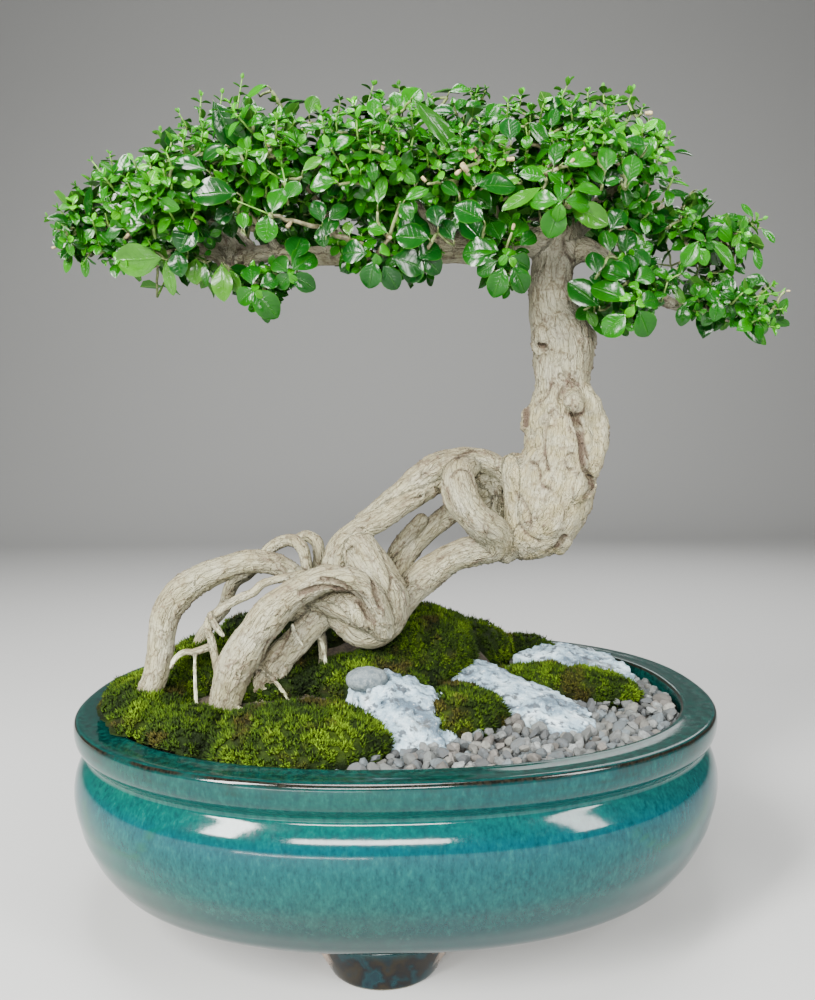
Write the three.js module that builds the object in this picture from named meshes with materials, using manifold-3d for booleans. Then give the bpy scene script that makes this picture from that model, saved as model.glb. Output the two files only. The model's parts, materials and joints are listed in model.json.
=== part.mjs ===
// A premna bonsai in an oval glazed pot: one woody body (trunk, braided trunk base, exposed roots and
// the main branches) planted in soil, with moss cushions, three rocks, a gravel bed, and the leafy
// shoots grouped in pads.  Millimetres, +Z up, front of the pot towards -Y.
import * as THREE from "three";
import { mergeVertices } from "three/addons/utils/BufferGeometryUtils.js";
import { ConvexGeometry } from "three/addons/geometries/ConvexGeometry.js";
import Module from "manifold-3d";

// ---------------------------------------------------------------- driving dimensions (mm)
const POT_HALF_LENGTH = 160; // rim, along X
const POT_HALF_WIDTH = 123.5; // rim, along Y
const RIM_EXPONENT = 2.265; // superellipse exponent of the oval
const RIM_HEIGHT = 100; // rim above the table
const LIP_WIDTH = 15; // flat top of the lip
const FOOT_HEIGHT = 14;
const FLOOR_THICKNESS = 8;
const DRAIN_RADIUS = 9;
const DRAIN_X = 68; // two drain holes, left and right of the middle
const GAP = 0.3; // clearance kept between touching pieces
const SOIL_LEVEL = 88; // flat soil level beside the mound
const GRAVEL_LEVEL = 94.5; // top of the gravel bed
const AROUND = 44; // segments round the oval
const ORIGIN = [-12.5, 0, 0]; // moves the middle of the whole object's box onto the origin

// outside of the pot: [inset from the rim line, height]
const OUTSIDE = [
  [33.5, 14], [25, 18], [15.8, 24], [11.3, 30], [6.1, 39], [2.3, 48], [-0.6, 60], [-0.8, 67],
  [0, 73], [1.2, 77], [5.2, 82.5], [4.6, 85], [1.5, 88], [-0.5, 94], [0.6, 100],
];
// inside of the pot, from the lip down to the floor
const INSIDE = [
  [LIP_WIDTH, 100], [LIP_WIDTH + 1.6, 97.5], [15.2, 90], [12, 80], [9.6, 68], [10.4, 54], [14, 42],
  [21, 30.5], [30, FOOT_HEIGHT + FLOOR_THICKNESS],
];

// wood strands: [x, y, z, radius] along each centre line
const STRANDS = {
  arch_upper: [[62.8, 6, 208.2, 5.9], [55.9, 6, 215.2, 5.9], [47.1, 4, 219.1, 6.4], [35, 0, 220.2, 6.8], [23.2, -4, 217.8, 7], [12.7, -5, 210.7, 7], [3.3, -4, 202.9, 6.7], [-6.1, -1, 195, 6.5], [-15.7, 2, 188.1, 5.8]],
  arch_lower: [[35.2, 2, 216.6, 5.8], [27.5, -1, 212, 5.8], [17.8, -5, 206.5, 5.7], [4.7, -8, 198.5, 5.7], [-8.2, -9, 189.9, 5.9], [-19.6, -9, 184.4, 6.2], [-28.8, -10, 176.9, 6.1], [-31.9, -12, 169, 6.1], [-32, -12, 159.7, 6.1], [-26.6, -10, 149, 6.2]],
  hook: [[39.2, 0, 217.1, 5.8], [32.4, -10, 213.2, 7.7], [31.7, -17, 205.3, 9.1], [35.1, -18, 196.8, 9.1], [42.4, -16, 188.9, 8.6], [49.3, -10, 182.7, 8.7], [51, -5, 175.9, 8.3], [42.9, -3, 173.6, 7.9], [31, -1, 169.8, 7.9], [17.9, 1, 161.2, 8.2], [7.2, 1, 151.8, 8.7], [-0.3, -2, 143.9, 8.9], [-6.2, -6, 136.4, 9.4]],
  strand_behind: [[37.9, 8, 198.8, 5.4], [28.3, 10, 190.7, 5.9], [16.4, 10, 181.1, 5.9], [6.5, 8, 171.1, 5.9], [0.5, 6, 160.7, 6.4], [-4.4, 2, 150.7, 6.9]],
  crossing: [[13.5, 4, 188.6, 3.7], [6, 6, 180, 4], [0.6, 8, 171.2, 4.3], [-3.2, 8, 160.5, 4.8]],
  knot: [[-24.9, -6, 176.9, 6.7], [-19.6, -10, 175.8, 9.2], [-15.5, -14, 170.1, 10.7], [-9.5, -17, 160.2, 11.1], [-5.1, -17, 150, 11.1], [-5.7, -16, 140.5, 10.7], [-11.8, -16, 134.5, 9.7], [-18.9, -16, 134.6, 8.6], [-26.5, -16, 140.9, 8.1], [-35.1, -14, 145.7, 7.6], [-45.6, -11, 145.3, 6.7], [-54.1, -8, 142.8, 5.2]],
  root_front: [[-6.8, -24, 136.2, 5.5], [-8.6, -28, 146.1, 5.9], [-12.9, -31, 155.6, 6.1], [-19.6, -33, 161.9, 6.3], [-27.7, -34, 164.6, 6.3], [-37.3, -34, 163.3, 6.5], [-48.5, -34, 157.6, 7.5], [-58.7, -34, 149.5, 8.2], [-67.9, -35, 139.1, 8.9], [-74.6, -36, 129.3, 9.1], [-79.4, -37, 119.9, 8.9], [-82.5, -37, 109.2, 8.2], [-84.9, -38, 100.8, 7.2], [-86, -39, 88, 5]],
  root_low: [[-34.1, -14, 144.7, 6.6], [-41.6, -17, 139.3, 6.8], [-50, -20, 130.9, 7], [-57.8, -22, 123.4, 7.5], [-62.5, -25, 116.2, 8.4], [-66.3, -27, 107.8, 8.4], [-69.3, -28, 101.2, 7.4], [-71, -29, 89, 5]],
  root_left: [[-43.7, -8, 148.8, 6.2], [-49.7, -9, 158.5, 5.7], [-55.4, -11, 165, 5.4], [-63.2, -13, 169, 5.6], [-74, -15, 170.4, 5.8], [-86.7, -17, 167.3, 6.3], [-99.3, -19, 161.8, 7], [-108.9, -21, 154.2, 7.5], [-114.4, -23, 145.7, 7.2], [-116.1, -25, 135.7, 6.7], [-116.8, -27, 126.2, 6.1], [-118.4, -29, 116.8, 5.9], [-121.4, -31, 109.5, 5.6], [-123.9, -33, 104.3, 5.3], [-125.3, -35, 98.6, 4.8], [-126, -36, 88, 3.6]],
  loop_back: [[-74.7, 8, 166.8, 2.4], [-71.4, 8, 170, 2.9], [-64.4, 8, 175.8, 3.2], [-56.2, 6, 178.6, 3.2], [-50, 2, 175.8, 3.2], [-47.1, -2, 168.9, 2.9], [-46.4, -5, 160.9, 2.9], [-44.8, -7, 152.9, 2.8]],
  loop_far: [[-54.7, 16, 178, 2.4], [-48.7, 16, 179.6, 3], [-43.1, 14, 177, 3.3], [-41.3, 10, 171, 3.2], [-41.4, 4, 162.6, 3.2], [-38.8, -4, 153.3, 3.6]],
  root_thin: [[-46.7, -22, 164.5, 2.2], [-52.9, -24, 163.4, 2.2], [-60.7, -25, 162.2, 2.2], [-67, -26, 160, 2.2], [-70.3, -27, 156.7, 2.2], [-78, -28, 153.5, 2.2], [-86.9, -30, 148.2, 2.2], [-91.1, -31, 144.5, 2.2], [-92, -32, 140.3, 1.9], [-90, -33, 133.7, 1.9], [-88.5, -34, 126, 1.9], [-87.7, -34, 119.2, 1.7], [-85.5, -34, 110.3, 1.5]],
  root_back: [[-63, -9, 168, 3.4], [-72.4, -2, 165.8, 3.4], [-79.4, 4, 161, 3.7], [-85.9, 7, 156.9, 3.7], [-89.4, 8, 150.9, 3.5], [-91.7, 8, 143.3, 3.5], [-98, 7, 135.5, 3.2], [-103.2, 6, 128.8, 3.2], [-106.3, 5, 121.6, 3.2], [-108.6, 5, 115.1, 2.9], [-110, 5, 98, 2.4]],
  root_small: [[-43.5, -12, 140.3, 2.6], [-40.6, -11, 134.9, 2.6], [-38.7, -11, 128.6, 2.3], [-38.7, -12, 112, 2]],
  trunk: [[68.7, -1, 170.4, 9], [69.7, -1, 176.2, 15], [75, 0, 184, 18], [79, 0, 192.4, 20], [81.5, 0, 201.9, 21.4], [83.6, 0, 211.4, 21], [86.7, 0, 220.8, 18.9], [87.7, 0, 230.3, 19.2], [87.7, 0, 239.7, 18.6], [87.7, 0, 249.1, 15.7], [87.7, 0, 258.4, 13.6], [87.7, 0, 267.8, 14.1], [88.2, 0, 277.1, 15.1], [86.6, 0, 286.4, 14.1], [83.4, 0, 296.7, 12], [81.3, 0, 307, 10.6], [82.3, 0, 318.3, 10.4], [83.9, 0, 328.5, 10.4], [85.4, 0, 335.6, 11.4]],
  burl_left: [[62.2, -4, 214.8, 3.6], [62.8, -4, 208.6, 6.8], [64.3, -4, 199.2, 7.8], [64.8, -4, 188.7, 8.4], [63.1, -2, 178, 7.9], [57.4, -1, 171.6, 5.8]],
  branch_left: [[86.5, 0, 328.5, 10.4], [80, -1, 334.3, 9.3], [69.2, -3, 333.8, 8.7], [54.7, -4, 331.5, 8.4], [39.1, -5, 328.2, 8.2], [23.7, -6, 327, 6.9], [5.9, -6, 326, 5.8], [-10.8, -5, 326.3, 5.1], [-27.1, -4, 325, 4.8], [-42.4, -3, 324.8, 4.6], [-57.8, -2, 326.1, 4.3], [-70.1, -1, 326.3, 4.6], [-81.5, 0, 322.6, 5.6], [-87.6, 0, 325.6, 4.6], [-98.9, 1, 328.9, 3.1], [-114.2, 2, 335.2, 2.6], [-129.5, 2, 334.2, 2.6], [-143.5, 1, 329.9, 2.3], [-156.8, 0, 327.7, 1.8], [-167, 0, 328.7, 1.5]],
  branch_left_upper: [[-81.5, 0, 322.6, 5.8], [-83, -2, 330.6, 4.3], [-87.6, -4, 334.6, 3.8], [-93.5, -6, 340.9, 3.3], [-98.2, -9, 346.9, 3], [-105.2, -12, 352.3, 2.2], [-111.8, -14, 357.9, 2.2], [-118.5, -16, 360.1, 2.2]],
  branch_right_upper: [[85.2, 4, 334.6, 8.9], [94.6, 8, 342.9, 7.9], [105.2, 12, 350.9, 7.2], [118.1, 16, 356.3, 5.9], [131.9, 20, 359.2, 4.9], [146.3, 22, 355.5, 3.3], [156.7, 20, 348.5, 2.5], [168.9, 16, 342, 2.2], [183.5, 12, 341, 1.6]],
  branch_right_lower: [[89.1, -2, 326.9, 6.2], [97.5, -4, 327.4, 6.2], [105.7, -6, 323.9, 4.6], [116.5, -8, 316.4, 3.3], [127.8, -10, 307.9, 3.1], [138.9, -12, 299.4, 2.8], [156.5, -12, 294.8, 2.3], [173.5, -12, 290.3, 1.8], [189.1, -12, 287.7, 1.5]],
  limb_01: [[-129.5, 2, 334.2, 2.4], [-138, -3, 340, 1.8], [-150, -6, 345, 1.4]],
  limb_02: [[-57.8, -2, 326.1, 4], [-66, -12, 338, 3], [-86, -22, 350, 2.4], [-104, -28, 354, 1.6]],
  limb_03: [[-70, -1, 326.3, 4], [-78, 10, 338, 3], [-90, 22, 350, 2.3], [-102, 30, 358, 1.6]],
  limb_04: [[-27.1, -4, 325, 4.4], [-34, -15, 342, 3], [-46, -25, 358, 2.4], [-58, -30, 366, 1.6]],
  limb_05: [[-20, -4, 325.6, 4.4], [-28, 10, 340, 3], [-38, 24, 354, 2.3], [-50, 34, 363, 1.6]],
  limb_06: [[24, -6, 327, 5], [14, -15, 344, 3.4], [0, -25, 360, 2.6], [-10, -31, 366, 1.6]],
  limb_07: [[30, -5, 327.6, 5], [20, 12, 343, 3.4], [10, 26, 356, 2.4], [4, 35, 364, 1.6]],
  limb_08: [[55, -4, 331.5, 6], [49, -16, 348, 3.6], [41, -27, 362, 2.6], [36, -32, 367, 1.7]],
  limb_09: [[70, 0, 334, 6], [66, 16, 348, 3.6], [60, 29, 359, 2.6], [57, 37, 366, 1.7]],
  limb_10: [[84, -2, 334, 7], [86, -14, 351, 4], [85, -25, 364, 2.8], [82, -30, 368, 1.7]],
  limb_11: [[104, 12, 350, 5], [107, 22, 357, 3.2], [109, 30, 363, 1.8]],
  limb_12: [[94.6, 8, 342.9, 6], [106, -2, 353, 3.6], [116, -12, 361, 2.4], [122, -17, 366, 1.6]],
  limb_13: [[-114.2, 2, 335, 2.4], [-117, -4, 326, 1.8], [-119, -8, 318, 1.4]],
  limb_14: [[-57.8, -2, 326, 4], [-62, -7, 316, 2.2], [-64, -11, 307, 1.5]],
  limb_15: [[4, -6, 326, 5], [0, -14, 322, 2.6], [-4, -21, 319, 1.6]],
  limb_16: [[52, -4, 331, 7], [53, -11, 326, 3.4], [55, -17, 322, 1.8]],
};
const SIDES = { trunk: 11, knot: 8, hook: 8, root_front: 7, root_left: 7, root_thin: 5, loop_back: 6, loop_far: 6, root_small: 5, root_back: 6, crossing: 6 };

// bumps that stand out of the trunk: [x, y, z, radii]
const BUMPS = [
  [89, -1, 211, 15.5, 15, 15], // belly of the burl
  [97, 2, 231, 9.5, 11, 14], // right flank
  [97, 1, 252, 7, 9, 8], // knob on the right
  [88, -14, 249, 8, 6, 7], // swirl of an old branch collar
  [76, -8, 284, 4.5, 5, 5], // branch scar on the left
  [101, 0, 283, 4.5, 5, 6], // small knob on the right
  [-81.5, -1, 323, 7.5, 7, 7], // knob on the left branch
  [-66, -25, 112, 11, 9, 6], // knobbly foot of the low root
];

// sections of the wood: strands and bumps (by number) in each; a later one is cut back from those before it
const SECTIONS = {
  tree_trunk: [["trunk", "burl_left"], [0, 1, 2, 3, 4, 5]],
  tree_arch: [["arch_upper", "arch_lower"], []],
  tree_knot: [["knot", "root_front"], []],
  tree_hook: [["hook", "strand_behind", "crossing"], []],
  tree_root_low: [["root_low", "root_small"], [7]],
  tree_root_left: [["root_left", "root_back"], []],
  tree_root_loop_back: [["loop_back"], []],
  tree_root_loop_far: [["loop_far"], []],
  tree_root_thin: [["root_thin"], []],
  tree_branch_left: [["branch_left", "branch_left_upper", "limb_01", "limb_02", "limb_03", "limb_04", "limb_05", "limb_06", "limb_07", "limb_08", "limb_09", "limb_13", "limb_14", "limb_15", "limb_16"], [6]],
  tree_branch_right_upper: [["branch_right_upper", "limb_10", "limb_11", "limb_12"], []],
  tree_branch_right_lower: [["branch_right_lower"], []],
};

// rocks: corner points
const ROCKS = {
  rock_front: [[-28, -20, 104], [-29, -34, 97], [-16, -33, 119.5], [-8, -30, 118], [2, -32, 116.5], [14, -38, 111], [21, -43, 106], [26, -62, 98], [25, -72, 93], [10, -77, 95], [0, -78, 94], [-12, -66, 101], [-22, -48, 103], [-25, -30, 112], [-18, -44, 113], [0, -58, 109], [12, -60, 104], [-20, -22, 91], [20, -40, 91], [22, -68, 91], [-2, -74, 91], [-24, -46, 91], [-6, -46, 115], [8, -46, 111.5]],
  rock_middle: [[27, 1, 112], [32, 8, 111], [46, 9, 112.5], [56, 0, 109], [64, -11, 106], [82, -20, 102.5], [93, -34, 99], [96, -54, 96], [88, -64, 93], [72, -66, 95], [60, -50, 99], [48, -32, 103], [28, -12, 105], [26, -4, 110], [40, 2, 113], [52, -14, 109], [70, -34, 104], [80, -48, 100], [30, -8, 91], [30, 6, 91], [60, 2, 91], [92, -34, 91], [90, -60, 91], [72, -63, 91], [46, -30, 91]],
  rock_back: [[66, 36, 108], [76, 45, 110], [90, 50, 111], [104, 50, 110], [116, 47, 108.5], [125, 40, 106], [133, 24, 101.5], [134, 12, 97], [122, 6, 97], [108, 6, 99], [92, 14, 103], [76, 26, 105.5], [100, 36, 109.5], [114, 34, 107], [110, 20, 103], [70, 38, 91], [88, 48, 91], [116, 44, 91], [130, 24, 91], [130, 12, 91], [104, 9, 91], [80, 28, 91]],
};

// soil mounds over the flat filling: centre, radii
const MOUNDS = [
  [[-42, 4, 84], [94, 88, 25]], // broad mound under the roots
  [[-40, 40, 84], [76, 50, 39]], // crest behind the roots
  [[16, 28, 84], [44, 44, 43]], // hill behind the foot of the trunk
];

// moss cushions: centre, radii, turn about Z (degrees)
const MOSS = {
  moss_far_left: [[-123, -20, 96.5], [25, 54, 13], 6],
  moss_left_slope: [[-101, 12, 104], [26, 34, 15], 10],
  moss_front_left: [[-94, -58, 95], [18, 23, 12], 20],
  moss_front: [[-44, -68, 96], [46, 34, 14.5], -4],
  moss_under_roots: [[-66, -14, 107], [28, 24, 12], 0],
  moss_centre: [[-20, -18, 108], [36, 28, 12.5], -6],
  moss_back_hill: [[18, 24, 114], [32, 31, 26.5], 10],
  moss_right: [[90, -1, 97], [42, 14.5, 11], -24],
  moss_front_middle: [[33, -44, 95], [22, 20, 12], -30],
  moss_back_left: [[-66, 36, 113], [44, 34, 21], 12],
  moss_left_back: [[-114, 44, 96], [26, 36, 14], -20],
  moss_back_tuft: [[80, 70, 97], [22, 16, 14], -14],
  moss_hill_back: [[24, 66, 104], [36, 26, 20], -8],
  moss_back: [[-44, 76, 103], [44, 28, 19], -2],
};

// leafy pads: centre, radii
const PADS = {
  foliage_left_tip: [[-148, -6, 335], [33, 36, 25]],
  foliage_left_front: [[-105, -29, 349], [35, 39, 28]],
  foliage_left_back: [[-102, 34, 350], [38, 40, 28]],
  foliage_midleft_front: [[-60, -31, 364], [33, 41, 30]],
  foliage_midleft_back: [[-52, 38, 361], [38, 44, 31]],
  foliage_middle_front: [[-12, -33, 363], [31, 41, 30]],
  foliage_middle_back: [[5, 40, 364], [38, 44, 33]],
  foliage_midright_front: [[35, -33, 364], [30, 41, 30]],
  foliage_midright_back: [[58, 40, 365], [36, 44, 33]],
  foliage_crown_front: [[82, -31, 364], [30, 41, 30]],
  foliage_crown_back: [[110, 34, 361], [33, 40, 32]],
  foliage_crown_right: [[121, -18, 357], [26, 37, 29]],
  foliage_left_under: [[-120, -12, 317], [34, 29, 17]],
  foliage_hanging_left: [[-64, -17, 306], [20, 20, 17]],
  foliage_hanging_middle: [[-5, -26, 319], [29, 22, 19]],
  foliage_hanging_trunk: [[53, -23, 321], [20, 20, 23]],
  foliage_right_hanging: [[117, -23, 303], [29, 24, 25]],
  foliage_right_middle: [[164, 4, 335], [39, 33, 21.5]],
  foliage_right_low: [[169, -14, 294], [37, 24, 18]],
};

// ---------------------------------------------------------------- solids
const wasm = await Module();
wasm.setup();

// a closed three.js geometry as a solid whose faces point outwards
function solid(geometry) {
  const g = geometry.clone();
  g.deleteAttribute("normal");
  g.deleteAttribute("uv");
  const merged = mergeVertices(g, 1e-4);
  const tri = new Uint32Array(merged.index.array);
  const make = () =>
    new wasm.Manifold(
      new wasm.Mesh({
        numProp: 3,
        vertProperties: new Float32Array(merged.attributes.position.array),
        triVerts: tri,
      }),
    );
  let made = make();
  if (made.volume() < 0) {
    for (let i = 0; i < tri.length; i += 3) [tri[i + 1], tri[i + 2]] = [tri[i + 2], tri[i + 1]];
    made = make();
  }
  return made;
}

// a solid as a geometry with one position per corner
function geometryOf(s) {
  const m = s.getMesh();
  const n = m.numProp;
  const v = new Float32Array((m.vertProperties.length / n) * 3);
  for (let i = 0; i < v.length / 3; i++) v.set(m.vertProperties.subarray(i * n, i * n + 3), i * 3);
  const g = new THREE.BufferGeometry();
  g.setAttribute("position", new THREE.BufferAttribute(v, 3));
  g.setIndex(new THREE.BufferAttribute(new Uint32Array(m.triVerts), 1));
  g.computeVertexNormals();
  return g;
}

const join = (list) => list.reduce((a, b) => a.add(b));

// the largest of the bodies that a cut leaves
const largest = (s) =>
  s.decompose().reduce((a, b) => (b.volume() > a.volume() ? b : a));

// a point on the oval
function oval(a, b, angle, n = RIM_EXPONENT) {
  const c = Math.cos(angle), s = Math.sin(angle);
  return [a * Math.sign(c) * Math.abs(c) ** (2 / n), b * Math.sign(s) * Math.abs(s) ** (2 / n)];
}

// a turned profile of [inset, height] whose round section is drawn out to the pot's oval
function ovalLathe(profile) {
  const side = profile.map(([inset, z]) => new THREE.Vector2(POT_HALF_LENGTH - inset, z));
  side.unshift(new THREE.Vector2(0, side[0].y));
  side.push(new THREE.Vector2(0, side[side.length - 1].y));
  const g = new THREE.LatheGeometry(side, AROUND);
  const p = g.attributes.position;
  for (let i = 0; i < p.count; i++) {
    const x = p.getX(i), z = p.getZ(i), r = Math.hypot(x, z);
    if (r < 1) p.setXYZ(i, 0, 0, p.getY(i));
    else {
      const step = Math.round((Math.atan2(z, x) / (2 * Math.PI)) * AROUND) % AROUND;
      const angle = ((step + AROUND) % AROUND) * ((2 * Math.PI) / AROUND);
      const [ox, oy] = oval(r, r - (POT_HALF_LENGTH - POT_HALF_WIDTH), angle);
      p.setXYZ(i, ox, oy, p.getY(i));
    }
  }
  return g;
}

// a strand of wood: a turned bar bent along its centre line, with its own radius at each point
function strand(points, sides, grow = 0) {
  const line = new THREE.CatmullRomCurve3(points.map((p) => new THREE.Vector3(p[0], p[1], p[2])), false, "centripetal");
  const size = new THREE.CatmullRomCurve3(points.map((p, i) => new THREE.Vector3(i, p[3] + grow, 0)));
  const rings = Math.max(3, Math.round((points.length - 1) * 0.86));
  const side = [new THREE.Vector2(0, 0)];
  for (let i = 0; i <= rings; i++) side.push(new THREE.Vector2(1, i));
  side.push(new THREE.Vector2(0, rings));
  const g = new THREE.LatheGeometry(side, sides);
  // frames carried along the line without twist
  const at = [], frames = [];
  for (let i = 0; i <= rings; i++) {
    at.push(line.getPoint(i / rings));
    const t = line.getTangent(i / rings).normalize();
    if (!i) {
      const n = new THREE.Vector3(0, 1, 0).cross(t);
      if (n.length() < 0.2) n.set(1, 0, 0);
      n.addScaledVector(t, -n.dot(t)).normalize();
      frames.push([t, n, t.clone().cross(n)]);
    } else {
      const n = frames[i - 1][1].clone();
      n.addScaledVector(t, -n.dot(t)).normalize();
      frames.push([t, n, t.clone().cross(n)]);
    }
  }
  const p = g.attributes.position, v = new THREE.Vector3();
  for (let i = 0; i < p.count; i++) {
    const ring = Math.round(p.getY(i)), x = p.getX(i), z = p.getZ(i);
    const [t, n, b] = frames[ring];
    const r = size.getPoint(ring / rings).y / Math.sqrt(Math.cos(Math.PI / sides)); // same girth as the round bar
    v.copy(at[ring]);
    if (Math.hypot(x, z) < 0.5) v.addScaledVector(t, (ring ? 0.45 : -0.45) * r);
    else v.addScaledVector(n, x * r).addScaledVector(b, z * r);
    p.setXYZ(i, v.x, v.y, v.z);
  }
  return solid(g);
}

// a lumpy closed cushion
function lump([cx, cy, cz], [rx, ry, rz], turn, detail, rough, seed) {
  const g = new THREE.IcosahedronGeometry(1, detail);
  const p = g.attributes.position, v = new THREE.Vector3();
  for (let i = 0; i < p.count; i++) {
    v.fromBufferAttribute(p, i).normalize();
    const k = 1 - rough + rough * Math.sin(3.1 * v.x + 2.3 * v.y + seed) * Math.cos(2.7 * v.z - 1.9 * v.y + 1.7 * seed);
    p.setXYZ(i, v.x * rx * k, v.y * ry * k, v.z * rz * k);
  }
  g.rotateZ((turn * Math.PI) / 180);
  g.translate(cx, cy, cz);
  return solid(g);
}

function placed(geometry, x, y, z) {
  return solid(geometry.translate(x, y, z));
}

// ---- wood: it grew as one piece, and is parted where strands meet so that each part is a plain bent bar
const strandOf = (name, grow) =>
  strand(STRANDS[name], SIDES[name] ?? (name.startsWith("limb") ? 5 : 6), grow);
const bumpOf = (i, grow) => {
  const [x, y, z, a, b, c] = BUMPS[i];
  return lump([x, y, z], [a + grow, b + grow, c + grow], 0, 1, 0.02, i);
};
const wood = {};
const woodParts = [];
for (const [name, [strands, bumps]] of Object.entries(SECTIONS)) {
  const sectionOf = (grow) =>
    join([...strands.map((n) => strandOf(n, grow)), ...bumps.map((i) => bumpOf(i, grow))]);
  wood[name] = largest(woodParts.reduce((a, b) => a.subtract(b), sectionOf(0)));
  woodParts.push(sectionOf(GAP + 0.05));
}
const woodClear = join(woodParts);

// ---- pot
const potShell = ovalLathe(OUTSIDE);
const potHollow = ovalLathe([[30, FOOT_HEIGHT + FLOOR_THICKNESS], ...INSIDE.slice(0, -1).reverse(), [LIP_WIDTH, RIM_HEIGHT + 5]]);
function foot(x, y, turn) {
  // a D-shaped block, its round side outwards, drawn in a little towards the sole
  const shape = new THREE.Shape();
  shape.moveTo(-27, 13);
  shape.lineTo(-29, 2);
  shape.absellipse(0, 2, 29, 15, Math.PI, 2 * Math.PI, false);
  shape.lineTo(27, 13);
  shape.closePath();
  const g = new THREE.ExtrudeGeometry(shape, { depth: FOOT_HEIGHT + 6, bevelEnabled: false, curveSegments: 10 });
  const p = g.attributes.position;
  for (let i = 0; i < p.count; i++) {
    const low = 1 - 0.12 * (1 - Math.min(1, p.getZ(i) / FOOT_HEIGHT));
    p.setXYZ(i, p.getX(i) * low, p.getY(i) * low, p.getZ(i));
  }
  g.rotateZ((turn * Math.PI) / 180);
  return placed(g, x, y, 0);
}
const feet = [foot(-8, -79, 0), foot(8, 79, 180), foot(-112, 0, -90), foot(112, 0, 90)];
const drain = (x) =>
  placed(new THREE.CylinderGeometry(DRAIN_RADIUS, DRAIN_RADIUS, 40, 20).rotateX(Math.PI / 2), x, 0, 18);
const pot = join([solid(potShell), ...feet])
  .subtract(solid(potHollow))
  .subtract(drain(-DRAIN_X))
  .subtract(drain(DRAIN_X));

// ---- drain screens: thin plastic mesh over the holes
function screen(x) {
  const half = 17;
  const shape = new THREE.Shape();
  shape.moveTo(-half, -half);
  shape.lineTo(half, -half);
  shape.lineTo(half, half);
  shape.lineTo(-half, half);
  shape.closePath();
  [[-9.6, 3], [0, 4], [9.6, 3]].forEach(([y, n], row) => {
    for (let i = 0; i < n; i++) {
      const x0 = (i - (n - 1) / 2) * 8.4;
      shape.holes.push(new THREE.Path([0, 1, 2, 3, 4, 5].map((k) => {
        const a = 0.2 + row * 0.3 + i * 0.13 - (k * Math.PI) / 3;
        return new THREE.Vector2(x0 + 3.1 * Math.cos(a), y + 3.1 * Math.sin(a));
      })));
    }
  });
  const g = new THREE.ExtrudeGeometry(shape, { depth: 1.2, bevelEnabled: false, curveSegments: 6 });
  return placed(g, x, 0, FOOT_HEIGHT + FLOOR_THICKNESS + GAP);
}
const screens = { drain_screen_left: screen(-DRAIN_X), drain_screen_right: screen(DRAIN_X) };

// ---- rocks
const rocks = {};
const rocksClear = {};
for (const [name, corners] of Object.entries(ROCKS)) {
  const points = corners.map((c) => new THREE.Vector3(...c));
  const middle = points.reduce((a, b) => a.clone().add(b)).divideScalar(points.length);
  rocks[name] = solid(new ConvexGeometry(points));
  rocksClear[name] = solid(new ConvexGeometry(points.map((q) => {
    const d = q.clone().sub(middle);
    return q.clone().addScaledVector(d.normalize(), 2.2 * GAP + 0.2);
  })));
}
const allRocks = join(Object.values(rocksClear));

// ---- soil: the pot's filling, a mound under the roots and a second one behind the trunk base
const inner = (extra) =>
  INSIDE.map(([inset, z]) => [inset + extra, z]).reverse();
const fillProfile = [
  [30 + GAP + 0.2, FOOT_HEIGHT + FLOOR_THICKNESS + GAP],
  ...inner(GAP + 0.2).slice(1).filter(([, z]) => z < SOIL_LEVEL - 3),
  [15.2 + GAP + 0.2, SOIL_LEVEL],
];
const moundsOf = (grow) =>
  join(MOUNDS.map(([c, r], i) => lump(c, r.map((q) => q + grow), 0, 2, 0.015, i + 1)));
const insidePot = solid(ovalLathe([[16.8, 60], [16.8, 150]]));
const screenBox = (x) => placed(new THREE.BoxGeometry(35, 35, 4), x, 0, FOOT_HEIGHT + FLOOR_THICKNESS);
let soil = solid(ovalLathe(fillProfile))
  .add(moundsOf(0).intersect(insidePot))
  .subtract(woodClear)
  .subtract(screenBox(-DRAIN_X))
  .subtract(screenBox(DRAIN_X));
soil = soil.subtract(allRocks);
soil = largest(soil);

// ---- a copy of the soil that is a little larger, to keep the moss and the gravel clear of it
const soilClear = solid(ovalLathe([[15, 60], [15, SOIL_LEVEL + GAP]]))
  .add(moundsOf(GAP + 0.05).intersect(solid(ovalLathe([[15.9, 60], [15.9, 150]]))));

// ---- the pot, a little thicker on its lip and inner wall
const lipClear = solid(ovalLathe([[-3, 60], [-3, RIM_HEIGHT + GAP]])).subtract(
  solid(ovalLathe([[LIP_WIDTH + 1.6 + GAP, 55], [LIP_WIDTH + 1.6 + GAP, 110]])));

// ---- moss cushions, each cut back from the ones before it
const moss = {};
{
  const names = Object.keys(MOSS);
  const clear = names.map((n, i) => {
    const [c, r, t] = MOSS[n];
    return lump(c, r.map((q) => q + GAP), t, r[0] < 25 ? 1 : 2, 0.06, i + 3);
  });
  names.forEach((n, i) => {
    const [c, r, t] = MOSS[n];
    let s = lump(c, r, t, r[0] < 25 ? 1 : 2, 0.06, i + 3).subtract(soilClear).subtract(woodClear).subtract(lipClear).subtract(allRocks);
    for (let k = 0; k < i; k++) s = s.subtract(clear[k]);
    moss[n] = largest(s);
  });
  moss.all = join(clear);
}

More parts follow.
